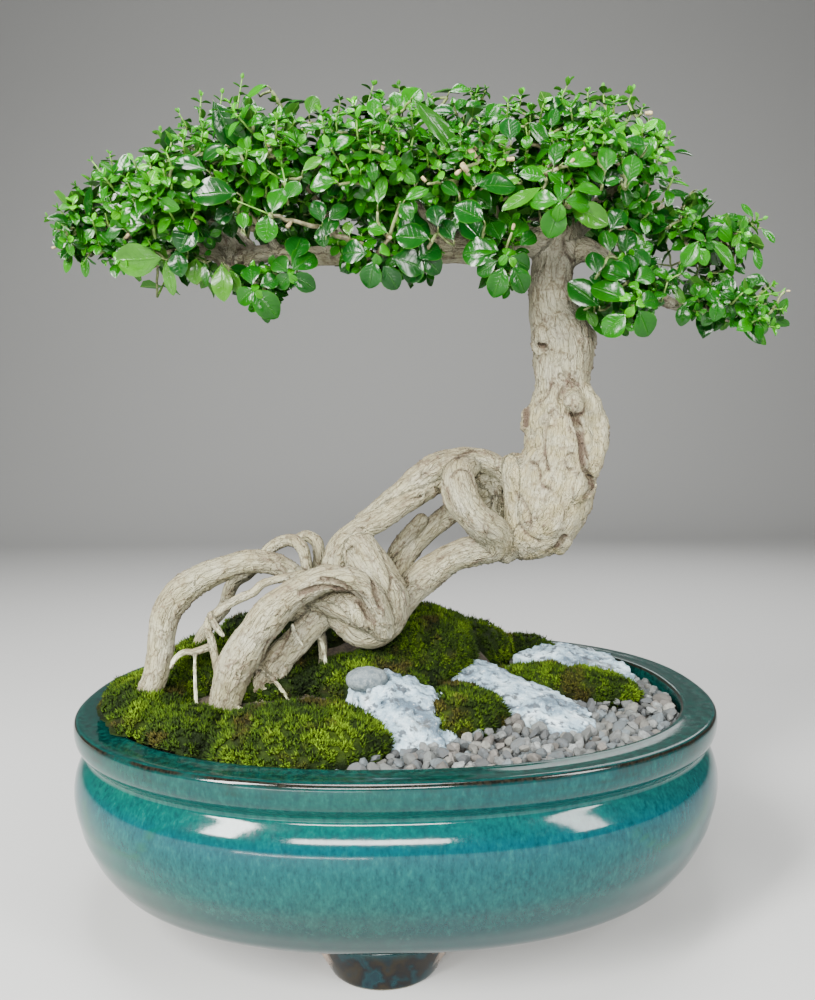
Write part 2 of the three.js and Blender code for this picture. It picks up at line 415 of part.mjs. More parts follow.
// ---- gravel bed on the right and along the front
const bedOutline = new THREE.Shape(
  [[-18, -60], [-30, -104], [0, -118], [80, -112], [150, -70], [160, 0], [150, 70], [90, 112], [40, 110], [38, 60], [40, 20], [20, -10]]
    .map(([x, y]) => new THREE.Vector2(x, y)));
const bedBlock = placed(new THREE.ExtrudeGeometry(bedOutline, { depth: 40, bevelEnabled: false }), 0, 0, 80);
const gravel = largest(
  solid(ovalLathe([[LIP_WIDTH + 2.4, SOIL_LEVEL + GAP], [LIP_WIDTH + 2.4, GRAVEL_LEVEL]]))
    .intersect(bedBlock)
    .subtract(soilClear)
    .subtract(moss.all)
    .subtract(allRocks)
    .subtract(woodClear));
delete moss.all;

// ---- leafy pads: neighbours are parted by a plane between them, and the wood passes through
const pads = {};
{
  const names = Object.keys(PADS);
  const far = (a, b) => new THREE.Vector3(...b).sub(new THREE.Vector3(...a));
  names.forEach((n, i) => {
    const [c, r] = PADS[n];
    let s = lump(c, r, 0, r[2] < 26 ? 1 : 2, 0.05, i);
    names.forEach((m, k) => {
      if (m === n) return;
      const [c2, r2] = PADS[m];
      const d = far(c, c2), dist = d.length(), u = d.clone().normalize();
      const reach = (rr) => 1 / Math.hypot(u.x / rr[0], u.y / rr[1], u.z / rr[2]);
      const ra = reach(r), rb = reach(r2);
      const common = lump(c, r, 0, r[2] < 26 ? 1 : 2, 0.05, i).intersect(lump(c2, r2, 0, r2[2] < 26 ? 1 : 2, 0.05, k)).volume();
      if (common < 1e-6) return;
      const cut = (dist * ra) / (ra + rb) - GAP / 2 - 0.02;
      const box = new THREE.BoxGeometry(400, 400, 200);
      const q = new THREE.Quaternion().setFromUnitVectors(new THREE.Vector3(0, 0, 1), u);
      box.applyQuaternion(q);
      const mid = new THREE.Vector3(...c).addScaledVector(u, cut + 100);
      s = s.subtract(placed(box, mid.x, mid.y, mid.z));
    });
    pads[n] = largest(s.subtract(woodClear));
  });
}

// ---------------------------------------------------------------- scene graph
const look = (color, roughness, metalness = 0) => new THREE.MeshStandardMaterial({ color, roughness, metalness });
const MATERIALS = {
  glaze: look(0x2b8a84, 0.12),
  bark: look(0xc9bda3, 0.85),
  soil: look(0x4a3a2c, 0.95),
  moss: look(0x4d6b1f, 0.95),
  rock: look(0xb9c4cb, 0.9),
  gravel: look(0xb3a89c, 0.9),
  leaf: look(0x2f7a25, 0.35),
  screen: look(0x222222, 0.6),
};

const bonsai = new THREE.Group();
bonsai.name = "premna_bonsai";
bonsai.position.set(...ORIGIN);

function add(parent, name, s, material) {
  const mesh = new THREE.Mesh(geometryOf(s), MATERIALS[material]);
  mesh.name = name;
  parent.add(mesh);
}

const container = new THREE.Group();
add(container, "pot", pot, "glaze");
for (const [n, s] of Object.entries(screens)) add(container, n, s, "screen");
bonsai.add(container);

const ground = new THREE.Group();
add(ground, "soil", soil, "soil");
add(ground, "gravel_bed", gravel, "gravel");
for (const [n, s] of Object.entries(rocks)) add(ground, n, s, "rock");
for (const [n, s] of Object.entries(moss)) add(ground, n, s, "moss");
bonsai.add(ground);

const tree = new THREE.Group();
for (const [n, s] of Object.entries(wood)) add(tree, n, s, "bark");
for (const [n, s] of Object.entries(pads)) add(tree, n, s, "leaf");
bonsai.add(tree);

export default bonsai;
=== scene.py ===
import json
import math

import bpy
import numpy as np
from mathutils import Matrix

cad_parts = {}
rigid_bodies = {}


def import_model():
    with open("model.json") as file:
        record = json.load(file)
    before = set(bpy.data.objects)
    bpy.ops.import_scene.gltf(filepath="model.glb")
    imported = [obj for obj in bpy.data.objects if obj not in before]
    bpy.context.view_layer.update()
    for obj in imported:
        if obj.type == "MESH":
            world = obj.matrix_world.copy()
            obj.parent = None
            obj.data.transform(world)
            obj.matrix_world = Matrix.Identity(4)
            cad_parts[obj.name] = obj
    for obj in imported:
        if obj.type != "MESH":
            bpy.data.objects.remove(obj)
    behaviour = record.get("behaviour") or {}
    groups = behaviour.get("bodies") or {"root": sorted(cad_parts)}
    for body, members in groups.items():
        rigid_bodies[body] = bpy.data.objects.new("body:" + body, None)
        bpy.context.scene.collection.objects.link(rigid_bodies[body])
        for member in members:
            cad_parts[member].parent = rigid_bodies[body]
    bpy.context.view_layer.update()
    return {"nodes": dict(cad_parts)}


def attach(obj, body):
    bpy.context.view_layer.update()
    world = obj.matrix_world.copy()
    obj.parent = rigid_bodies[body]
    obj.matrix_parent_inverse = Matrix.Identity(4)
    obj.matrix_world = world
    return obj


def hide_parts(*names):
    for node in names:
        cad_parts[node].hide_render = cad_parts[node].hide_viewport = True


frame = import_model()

import openvdb as vdb
from mathutils import Matrix, Vector
from mathutils.bvhtree import BVHTree

# ------------------------------------------------------------------ frame and helpers
# Lengths below are in millimetres with the middle of the pot at the origin, +Z up and the front towards -Y.
# The row frame is the same in metres, moved by SHIFT along X.
SHIFT = -12.5
HALF_A, HALF_B, POWER = 160.0, 123.5, 2.265  # the pot's rim, a superellipse
rng = np.random.default_rng(20261)


def row(p):
    q = np.array(p, float)
    q[..., 0] += SHIFT
    return q / 1000.0


# the photograph's viewpoint
EYE = np.array([-6.33095736, -412.90891814, 223.34])
FORWARD = np.array([0.03043578, 0.99788279, -0.0574769])
RIGHT = np.array([0.99948055, -0.03099334, -0.00883408])
UP = np.array([0.01059677, 0.05717818, 0.99830775])
FOCAL = 789.0  # in pixels of an 815 by 1000 frame


def project(p):
    v = np.asarray(p, float) - EYE
    z = v @ FORWARD
    return np.stack([407.5 + FOCAL * (v @ RIGHT) / z, 500 - FOCAL * (v @ UP) / z], -1)


def ray(px, py):
    return FORWARD + RIGHT * ((px - 407.5) / FOCAL) - UP * ((py - 500) / FOCAL)


def at_y(px, py, y):
    w = ray(px, py)
    return EYE + w * ((y - EYE[1]) / w[1])


def unit(v):
    v = np.asarray(v, float)
    return v / np.maximum(np.linalg.norm(v, axis=-1, keepdims=True), 1e-9)


def value_noise(p, seed=0):
    """Smooth noise from -1 to 1 at points p (n, 3)."""
    i = np.floor(p).astype(np.int64)
    f = p - i
    f = f * f * f * (f * (f * 6 - 15) + 10)
    out = np.zeros(len(p))
    for dx in (0, 1):
        wx = f[:, 0] if dx else 1 - f[:, 0]
        for dy in (0, 1):
            wy = f[:, 1] if dy else 1 - f[:, 1]
            for dz in (0, 1):
                wz = f[:, 2] if dz else 1 - f[:, 2]
                h = (i[:, 0] + dx) * 73856093 ^ (i[:, 1] + dy) * 19349663 ^ (i[:, 2] + dz) * 83492791 ^ (seed * 2654435 + 97)
                h = (h ^ (h >> 13)) * 1274126177 & 0xFFFFFFFF
                h = (h ^ (h >> 16)) * 2246822519 & 0xFFFFFFFF
                h ^= h >> 15
                out += wx * wy * wz * ((h & 0xFFFF) / 32767.5 - 1)
    return out


def fbm(p, seed=0, octaves=4, gain=0.5):
    out, a, q = np.zeros(len(p)), 1.0, np.array(p, float)
    for k in range(octaves):
        out += a * value_noise(q, seed + 17 * k)
        q = q * 2.03 + 11.3
        a *= gain
    return out


def worley(p, seed=0):
    """Distance to the nearest of one random point in each unit cell, and that cell's random number."""
    i = np.floor(p).astype(np.int64)
    best = np.full(len(p), 9.0)
    tag = np.zeros(len(p))
    for dx in (-1, 0, 1):
        for dy in (-1, 0, 1):
            for dz in (-1, 0, 1):
                c = i + [dx, dy, dz]
                h = c[:, 0] * 73856093 ^ c[:, 1] * 19349663 ^ c[:, 2] * 83492791 ^ (seed * 2654435 + 31)
                h = (h ^ (h >> 13)) * 1274126177 & 0xFFFFFFFF
                g = (h ^ (h >> 16)) * 2246822519 & 0xFFFFFFFF
                k = (g ^ (g >> 13)) * 3266489917 & 0xFFFFFFFF
                o = np.stack([(h >> 8 & 0xFFFF) / 65536, (g >> 8 & 0xFFFF) / 65536, (k >> 8 & 0xFFFF) / 65536], 1)
                d = np.linalg.norm(c + o - p, axis=1)
                near = d < best
                best = np.where(near, d, best)
                tag = np.where(near, (k >> 4 & 0xFFF) / 4096, tag)
    return best, tag


def add_mesh(name, verts, faces, materials, smooth=True, points=None, per_face=None, index=None, sharp=None):
    """A mesh object from arrays. faces is a list of (n, k) index arrays. points and per_face are named attributes:
    one column is a float, three a vector, four a colour. sharp marks vertices whose shared edges stay sharp."""
    me = bpy.data.meshes.new(name)
    verts = row(verts)
    faces = [np.asarray(f, np.int64) for f in faces if len(f)]
    me.vertices.add(len(verts))
    me.vertices.foreach_set("co", verts.astype(np.float32).ravel())
    loops = np.concatenate([f.ravel() for f in faces])
    sizes = np.concatenate([np.full(len(f), f.shape[1]) for f in faces])
    starts = np.concatenate([[0], np.cumsum(sizes)[:-1]])
    me.loops.add(len(loops))
    me.loops.foreach_set("vertex_index", loops.astype(np.int32))
    me.polygons.add(len(sizes))
    me.polygons.foreach_set("loop_start", starts.astype(np.int32))
    me.polygons.foreach_set("use_smooth", np.full(len(sizes), bool(smooth)))
    if index is not None:
        me.polygons.foreach_set("material_index", np.asarray(index, np.int32))
    me.update(calc_edges=True)
    for domain, table in (("POINT", points or {}), ("FACE", per_face or {})):
        for key, a in table.items():
            a = np.asarray(a, np.float32)
            kind, field = {1: ("FLOAT", "value"), 3: ("FLOAT_VECTOR", "vector"), 4: ("FLOAT_COLOR", "color")}[1 if a.ndim == 1 else a.shape[1]]
            me.attributes.new(key, kind, domain).data.foreach_set(field, a.ravel())
    if sharp is not None:
        e = np.zeros(len(me.edges) * 2, np.int32)
        me.edges.foreach_get("vertices", e)
        e = e.reshape(-1, 2)
        me.attributes.new("sharp_edge", "BOOLEAN", "EDGE").data.foreach_set("value", sharp[e[:, 0]] & sharp[e[:, 1]])
    for m in materials:
        me.materials.append(m)
    o = bpy.data.objects.new(name, me)
    bpy.context.scene.collection.objects.link(o)
    tris = int((sizes - 2).sum())
    made_triangles[name] = tris
    return o


made_triangles = {}


def applied(o):
    """Apply an object's modifiers."""
    dg = bpy.context.evaluated_depsgraph_get()
    me = bpy.data.meshes.new_from_object(o.evaluated_get(dg))
    o.modifiers.clear()
    o.data = me
    me.calc_loop_triangles()
    made_triangles[o.name] = len(me.loop_triangles)


def thin_out(o, most):
    """Collapse the least needed edges until about `most` triangles are left."""
    if made_triangles[o.name] > most:
        m = o.modifiers.new("thin", "DECIMATE")
        m.ratio = most / made_triangles[o.name]
        applied(o)


class Gather:
    """Collects small meshes into one."""

    def __init__(self):
        self.v, self.f, self.n = [], {}, 0
        self.pt, self.fc, self.order = {}, {}, []

    def add(self, v, faces, pt=None, fc=None):
        self.v.append(np.asarray(v, float))
        for f in faces:
            f = np.asarray(f, np.int64)
            k = f.shape[1]
            self.f.setdefault(k, []).append(f + self.n)
            for key, val in (fc or {}).items():
                self.fc.setdefault(key, {}).setdefault(k, []).append(np.repeat(np.asarray([val], float), len(f), 0))
        for key, val in (pt or {}).items():
            val = np.asarray(val, float)
            if val.ndim == 1 and len(val) != len(v) or val.ndim == 0:
                val = np.repeat(val[None], len(v), 0)
            self.pt.setdefault(key, []).append(val)
        self.n += len(v)

    def parts(self):
        ks = sorted(self.f)
        return (
            np.concatenate(self.v),
            [np.concatenate(self.f[k]) for k in ks],
            {key: np.concatenate(v) for key, v in self.pt.items()},
            {key: np.concatenate([np.concatenate(v[k]) for k in ks if k in v]) for key, v in self.fc.items()},
        )


# ------------------------------------------------------------------ materials
class Shader:
    def __init__(self, name):
        self.m = bpy.data.materials.new(name)
        self.m.use_nodes = True
        self.t = self.m.node_tree
        self.t.nodes.clear()
        self.out = self.n("OutputMaterial")

    def n(self, kind, ins=None, **props):
        node = self.t.nodes.new("ShaderNode" + kind)
        for k, v in props.items():
            setattr(node, k, v)
        for k, v in (ins or {}).items():
            if isinstance(v, bpy.types.NodeSocket):
                self.t.links.new(v, node.inputs[k])
            else:
                node.inputs[k].default_value = v
        return node

    def attr(self, name, what="Fac"):
        return self.n("Attribute", attribute_name=name).outputs[what]

    def place(self):
        return self.n("TexCoord").outputs["Object"]

    def noise(self, vec, scale, detail=3.0, rough=0.55, distort=0.0):
        return self.n("TexNoise", {"Vector": vec, "Scale": scale, "Detail": detail, "Roughness": rough, "Distortion": distort}).outputs[0]

    def cells(self, vec, scale, feature="F1", random=1.0):
        return self.n("TexVoronoi", {"Vector": vec, "Scale": scale, "Randomness": random}, feature=feature).outputs["Distance"]

    def ramp(self, fac, stops, interpolation="LINEAR"):
        node = self.n("ValToRGB", {"Fac": fac})
        r = node.color_ramp
        r.interpolation = interpolation
        while len(r.elements) < len(stops):
            r.elements.new(0.5)
        for e, (at, c) in zip(r.elements, stops):
            e.position = at
            e.color = (*c, 1) if not np.isscalar(c) else (c, c, c, 1)
        return node.outputs["Color"]

    def mix(self, fac, a, b, blend="MIX"):
        return self.n("Mix", {0: fac, 6: a if not isinstance(a, tuple) else (*a, 1), 7: b if not isinstance(b, tuple) else (*b, 1)}, data_type="RGBA", blend_type=blend, clamp_factor=True).outputs[2]

    def math(self, op, a, b=0.0, c=0.0, clamp=False):
        return self.n("Math", {0: a, 1: b, 2: c}, operation=op, use_clamp=clamp).outputs[0]

    def fit(self, v, a, b, c=0.0, d=1.0, smooth=False):
        return self.n("MapRange", {0: v, 1: a, 2: b, 3: c, 4: d}, interpolation_type="SMOOTHSTEP" if smooth else "LINEAR").outputs[0]

    def bump(self, height, distance, strength=1.0, normal=None):
        ins = {"Height": height, "Distance": distance, "Strength": strength}
        if normal is not None:
            ins["Normal"] = normal
        return self.n("Bump", ins).outputs[0]

    def scaled(self, vec, s):
        return self.n("VectorMath", {0: vec, 1: s}, operation="MULTIPLY").outputs[0]

    def finish(self, level=None, **ins):
        """The last node; level scales the colour of the whole surface."""
        if level is not None:
            ins["Base_Color"] = self.mix(1.0, ins["Base_Color"], level, "MULTIPLY")
        b = self.n("BsdfPrincipled", {k.replace("_", " "): v for k, v in ins.items()})
        self.t.links.new(b.outputs[0], self.out.inputs[0])
        self.bsdf = b
        return self.m


# ------------------------------------------------------------------ wood
# centre lines of the strands: x, y, z, radius
STRANDS = {
    "arch_upper": [[62.8, 6, 208.2, 5.9], [55.9, 6, 215.2, 5.9], [47.1, 4, 219.1, 6.4], [35, 0, 220.2, 6.8], [23.2, -4, 217.8, 7], [12.7, -5, 210.7, 7], [3.3, -4, 202.9, 6.7], [-6.1, -1, 195, 6.5], [-15.7, 2, 188.1, 5.8]],
    "arch_lower": [[35.2, 2, 216.6, 5.8], [27.5, -1, 212, 5.8], [17.8, -5, 206.5, 5.7], [4.7, -8, 198.5, 5.7], [-8.2, -9, 189.9, 5.9], [-19.6, -9, 184.4, 6.2], [-28.8, -10, 176.9, 6.1], [-31.9, -12, 169, 6.1], [-32, -12, 159.7, 6.1], [-26.6, -10, 149, 6.2]],
    "hook": [[39.2, 0, 217.1, 5.8], [32.4, -10, 213.2, 7.7], [31.7, -17, 205.3, 9.1], [35.1, -18, 196.8, 9.1], [42.4, -16, 188.9, 8.6], [49.3, -10, 182.7, 8.7], [51, -5, 175.9, 8.3], [42.9, -3, 173.6, 7.9], [31, -1, 169.8, 7.9], [17.9, 1, 161.2, 8.2], [7.2, 1, 151.8, 8.7], [-0.3, -2, 143.9, 8.9], [-6.2, -6, 136.4, 9.4]],
    "strand_behind": [[37.9, 8, 198.8, 5.4], [28.3, 10, 190.7, 5.9], [16.4, 10, 181.1, 5.9], [6.5, 8, 171.1, 5.9], [0.5, 6, 160.7, 6.4], [-4.4, 2, 150.7, 6.9]],
    "crossing": [[13.5, 4, 188.6, 3.7], [6, 6, 180, 4], [0.6, 8, 171.2, 4.3], [-3.2, 8, 160.5, 4.8]],
    "knot": [[-24.9, -6, 176.9, 6.7], [-19.6, -10, 175.8, 9.2], [-15.5, -14, 170.1, 10.7], [-9.5, -17, 160.2, 11.1], [-5.1, -17, 150, 11.1], [-5.7, -16, 140.5, 10.7], [-11.8, -16, 134.5, 9.7], [-18.9, -16, 134.6, 8.6], [-26.5, -16, 140.9, 8.1], [-35.1, -14, 145.7, 7.6], [-45.6, -11, 145.3, 6.7], [-54.1, -8, 142.8, 5.2]],
    "root_front": [[-6.8, -24, 136.2, 5.5], [-8.6, -28, 146.1, 5.9], [-12.9, -31, 155.6, 6.1], [-19.6, -33, 161.9, 6.3], [-27.7, -34, 164.6, 6.3], [-37.3, -34, 163.3, 6.5], [-48.5, -34, 157.6, 7.5], [-58.7, -34, 149.5, 8.2], [-67.9, -35, 139.1, 8.9], [-74.6, -36, 129.3, 9.1], [-79.4, -37, 119.9, 8.9], [-82.5, -37, 109.2, 8.2], [-84.9, -38, 100.8, 7.2], [-86, -39, 88, 5]],
    "root_low": [[-34.1, -14, 144.7, 6.6], [-41.6, -17, 139.3, 6.8], [-50, -20, 130.9, 7], [-57.8, -22, 123.4, 7.5], [-62.5, -25, 116.2, 8.4], [-66.3, -27, 107.8, 8.4], [-69.3, -28, 101.2, 7.4], [-71, -29, 89, 5]],
    "root_left": [[-43.7, -8, 148.8, 6.2], [-49.7, -9, 158.5, 5.7], [-55.4, -11, 165, 5.4], [-63.2, -13, 169, 5.6], [-74, -15, 170.4, 5.8], [-86.7, -17, 167.3, 6.3], [-99.3, -19, 161.8, 7], [-108.9, -21, 154.2, 7.5], [-114.4, -23, 145.7, 7.2], [-116.1, -25, 135.7, 6.7], [-116.8, -27, 126.2, 6.1], [-118.4, -29, 116.8, 5.9], [-121.4, -31, 109.5, 5.2], [-124.4, -33, 104.3, 4.6], [-127, -35, 98.6, 3.8], [-128, -36, 88, 3]],
    "loop_back": [[-74.7, 8, 166.8, 2.4], [-71.4, 8, 170, 2.9], [-64.4, 8, 175.8, 3.2], [-56.2, 6, 178.6, 3.2], [-50, 2, 175.8, 3.2], [-47.1, -2, 168.9, 2.9], [-46.4, -5, 160.9, 2.9], [-44.8, -7, 152.9, 2.8]],
    "loop_far": [[-54.7, 16, 178, 2.4], [-48.7, 16, 179.6, 3], [-43.1, 14, 177, 3.3], [-41.3, 10, 171, 3.2], [-41.4, 4, 162.6, 3.2], [-38.8, -4, 153.3, 3.6]],
    "root_thin": [[-46.7, -22, 164.5, 2.2], [-52.9, -24, 163.4, 2.2], [-60.7, -25, 162.2, 2.2], [-67, -26, 160, 2.2], [-70.3, -27, 156.7, 2.2], [-78, -28, 153.5, 2.2], [-86.9, -30, 148.2, 2.2], [-91.1, -31, 144.5, 2.2], [-92, -32, 140.3, 1.9], [-90, -33, 133.7, 1.9], [-88.5, -34, 126, 1.9], [-87.7, -34, 119.2, 1.7], [-85.5, -34, 110.3, 1.5]],
    "root_back": [[-63, -9, 168, 3.4], [-72.4, -2, 165.8, 3.4], [-79.4, 4, 161, 3.7], [-85.9, 7, 156.9, 3.7], [-89.4, 8, 150.9, 3.5], [-91.7, 8, 143.3, 3.5], [-98, 7, 135.5, 3.2], [-103.2, 6, 128.8, 3.2], [-106.3, 5, 121.6, 3.2], [-108.6, 5, 115.1, 2.9], [-110, 5, 98, 2.4]],
    "root_small": [[-43.5, -12, 140.3, 2.6], [-40.6, -11, 134.9, 2.6], [-38.7, -11, 128.6, 2.3], [-38.7, -12, 112, 2]],
    "trunk": [[69.5, -1, 176.4, 8.2], [70.2, -1, 181, 13.4], [75.5, 0, 186.5, 17], [79, 0, 192.4, 20], [81.5, 0, 201.9, 21.4], [83.6, 0, 211.4, 21], [86.7, 0, 220.8, 18.9], [87.7, 0, 230.3, 19.2], [87.7, 0, 239.7, 18.6], [87.7, 0, 249.1, 15.7], [87.7, 0, 258.4, 13.6], [87.7, 0, 267.8, 14.1], [88.2, 0, 277.1, 15.1], [86.6, 0, 286.4, 14.1], [83.4, 0, 296.7, 12], [81.3, 0, 307, 10.6], [82.3, 0, 318.3, 10.4], [83.9, 0, 328.5, 10.4], [85.4, 0, 335.6, 11.4]],
    "burl_left": [[62.2, -4, 214.8, 3.6], [62.8, -4, 208.6, 6.8], [64.3, -4, 199.2, 7.8], [64.8, -4, 188.7, 8.4], [63.1, -2, 178, 7.9], [57.4, -1, 171.6, 5.8]],
    "branch_left": [[86.5, 0, 328.5, 10.4], [80, -1, 334.3, 9.3], [69.2, -3, 333.8, 8.7], [54.7, -4, 331.5, 8.4], [39.1, -5, 328.2, 8.2], [23.7, -6, 327, 6.9], [5.9, -6, 326, 5.8], [-10.8, -5, 326.3, 5.1], [-27.1, -4, 325, 4.8], [-42.4, -3, 324.8, 4.6], [-57.8, -2, 326.1, 4.3], [-70.1, -1, 326.3, 4.6], [-81.5, 0, 322.6, 5.6], [-87.6, 0, 325.6, 4.6], [-98.9, 1, 328.9, 3.1], [-114.2, 2, 335.2, 2.6], [-129.5, 2, 334.2, 2.6], [-143.5, 1, 329.9, 2.3], [-156.8, 0, 327.7, 1.8], [-167, 0, 328.7, 1.5]],
    "branch_left_upper": [[-81.5, 0, 322.6, 5.8], [-83, -2, 330.6, 4.3], [-87.6, -4, 334.6, 3.8], [-93.5, -6, 340.9, 3.3], [-98.2, -9, 346.9, 3], [-105.2, -12, 352.3, 2.2], [-111.8, -14, 357.9, 2.2], [-118.5, -16, 360.1, 2.2]],
    "branch_right_upper": [[85.2, 4, 334.6, 8.9], [94.6, 8, 342.9, 7.9], [105.2, 12, 350.9, 7.2], [118.1, 16, 356.3, 5.9], [131.9, 20, 359.2, 4.9], [146.3, 22, 355.5, 3.3], [156.7, 20, 348.5, 2.5], [168.9, 16, 342, 2.2], [183.5, 12, 341, 1.6]],
    "branch_right_lower": [[89.1, -2, 326.9, 6.2], [97.5, -4, 327.4, 6.2], [105.7, -6, 323.9, 4.6], [116.5, -8, 316.4, 3.3], [127.8, -10, 307.9, 3.1], [138.9, -12, 299.4, 2.8], [156.5, -12, 294.8, 2.3], [173.5, -12, 290.3, 1.8], [189.1, -12, 287.7, 1.5]],
    "limb_01": [[-129.5, 2, 334.2, 2.4], [-138, -3, 340, 1.8], [-150, -6, 345, 1.4]],
    "limb_02": [[-57.8, -2, 326.1, 4], [-66, -12, 338, 3], [-86, -22, 350, 2.4], [-104, -28, 354, 1.6]],
    "limb_03": [[-70, -1, 326.3, 4], [-78, 10, 338, 3], [-90, 22, 350, 2.3], [-102, 30, 358, 1.6]],
    "limb_04": [[-27.1, -4, 325, 4.4], [-34, -15, 342, 3], [-46, -25, 358, 2.4], [-58, -30, 366, 1.6]],
    "limb_05": [[-20, -4, 325.6, 4.4], [-28, 10, 340, 3], [-38, 24, 354, 2.3], [-50, 34, 363, 1.6]],
    "limb_06": [[24, -6, 327, 5], [14, -15, 344, 3.4], [0, -25, 360, 2.6], [-10, -31, 366, 1.6]],
    "limb_07": [[30, -5, 327.6, 5], [20, 12, 343, 3.4], [10, 26, 356, 2.4], [4, 35, 364, 1.6]],
    "limb_08": [[55, -4, 331.5, 6], [49, -16, 348, 3.6], [41, -27, 362, 2.6], [36, -32, 367, 1.7]],
    "limb_09": [[70, 0, 334, 6], [66, 16, 348, 3.6], [60, 29, 359, 2.6], [57, 37, 366, 1.7]],
    "limb_10": [[84, -2, 334, 7], [86, -14, 351, 4], [85, -25, 364, 2.8], [82, -30, 368, 1.7]],
    "limb_11": [[104, 12, 350, 5], [107, 22, 357, 3.2], [109, 30, 363, 1.8]],
    "limb_12": [[94.6, 8, 342.9, 6], [106, -2, 353, 3.6], [116, -12, 361, 2.4], [122, -17, 366, 1.6]],
    "limb_13": [[-114.2, 2, 335, 2.4], [-117, -4, 326, 1.8], [-119, -8, 318, 1.4]],
    "limb_14": [[-57.8, -2, 326, 4], [-62, -7, 316, 2.2], [-64, -11, 307, 1.5]],
    "limb_15": [[4, -6, 326, 5], [0, -14, 322, 2.6], [-4, -21, 319, 1.6]],
    "limb_16": [[52, -4, 331, 7], [53, -11, 326, 3.4], [55, -17, 322, 1.8]],
}
# thin rootlets that hang from the arching roots
ROOTLETS = {
    "fine_a": [[-92.5, -33.5, 131, 1.9], [-98, -35, 129.5, 1.7], [-103, -36, 129.5, 1.5], [-107, -37, 126.5, 1.3], [-109, -37, 122.5, 0.9]],
    "fine_b": [[-97.5, -36, 128.5, 1.0], [-97.6, -37, 122, 0.9], [-97.2, -38, 112, 0.9], [-97, -38, 104, 0.9]],
    "fine_c": [[-90.5, -31.5, 146.5, 1.8], [-88, -33, 141.5, 1.7], [-84.5, -34, 137, 1.2]],
    "fine_d": [[-39.5, -19, 133, 1.2], [-37.5, -20, 127, 1.1], [-36.5, -20, 120, 1.0], [-35, -20, 112, 0.8]],
    "fine_e": [[-52, -27, 140, 1.0], [-50, -29, 135, 0.9], [-46.5, -31, 131, 0.7]],
    "fine_f": [[-78, -41, 104, 1.4], [-72, -44, 103, 1.2], [-66, -45, 104.5, 1.1], [-60, -44, 103, 0.9], [-55, -42, 100, 0.8]],
    "fine_g": [[-68, -31, 120, 1.3], [-63, -33, 117, 1.0], [-57, -35, 111, 0.9], [-53, -35, 104, 0.8]],
}
BUMPS = [
    [89, -1, 211, 15.5, 15, 15], [97, 2, 231, 9.5, 11, 14], [97, 1, 252, 7, 9, 8], [88, -14, 249, 8, 6, 7],
    [76, -8, 284, 4.5, 5, 5], [101, 0, 283, 4.5, 5, 6], [-81.5, -1, 323, 7.5, 7, 7], [-66, -25, 112, 11, 9, 6],
    [-28, -7, 147, 6, 5, 6.5],
]
# wood that closes the hollow between the hook and the burl from behind
WEB = [[42, 11, 216, 6], [49, 12, 208, 8], [51, 13, 199, 9], [51, 12, 190, 9], [48, 9, 182, 7.5]]
BLEND = {"trunk": 5.0, "burl_left": 1.2, "branch_left": 4.0, "branch_right_upper": 4.0, "branch_right_lower": 3.0, "branch_left_upper": 3.0}


def smooth_line(points, step):
    """A centripetal spline through points, resampled to about step."""
    p = np.array(points, float)
    t = np.concatenate([[0], np.cumsum(np.sqrt(np.linalg.norm(np.diff(p[:, :3], axis=0), axis=1)))])
    m = np.empty_like(p)
    d = np.diff(p, axis=0) / np.diff(t)[:, None]
    m[0], m[-1] = d[0], d[-1]
    for i in range(1, len(p) - 1):
        m[i] = d[i - 1] - (p[i + 1] - p[i - 1]) / (t[i + 1] - t[i - 1]) + d[i]
    out = []
    for i in range(len(p) - 1):
        h = t[i + 1] - t[i]
        n = max(2, int(np.linalg.norm(p[i + 1, :3] - p[i, :3]) / step) + 1)
        s = np.linspace(0, 1, n, endpoint=False)[:, None]
        out.append((2 * s**3 - 3 * s**2 + 1) * p[i] + (s**3 - 2 * s**2 + s) * h * m[i] + (-2 * s**3 + 3 * s**2) * p[i + 1] + (s**3 - s**2) * h * m[i + 1])
    out.append(p[-1:])
    q = np.concatenate(out)
    q[:, 3] = np.maximum(q[:, 3], 0.3)
    return q


def frames_of(p):
    """Tangent and two cross directions along a line, carried without twist."""
    t = unit(np.gradient(p, axis=0))
    n = np.cross([0, 1, 0], t[0])
    if np.linalg.norm(n) < 0.2:
        n = np.array([1.0, 0, 0])
    ns = []
    for k in range(len(p)):
        n = unit(n - (n @ t[k]) * t[k])
        ns.append(n)
    ns = np.array(ns)
    return t, ns, np.cross(t, ns)


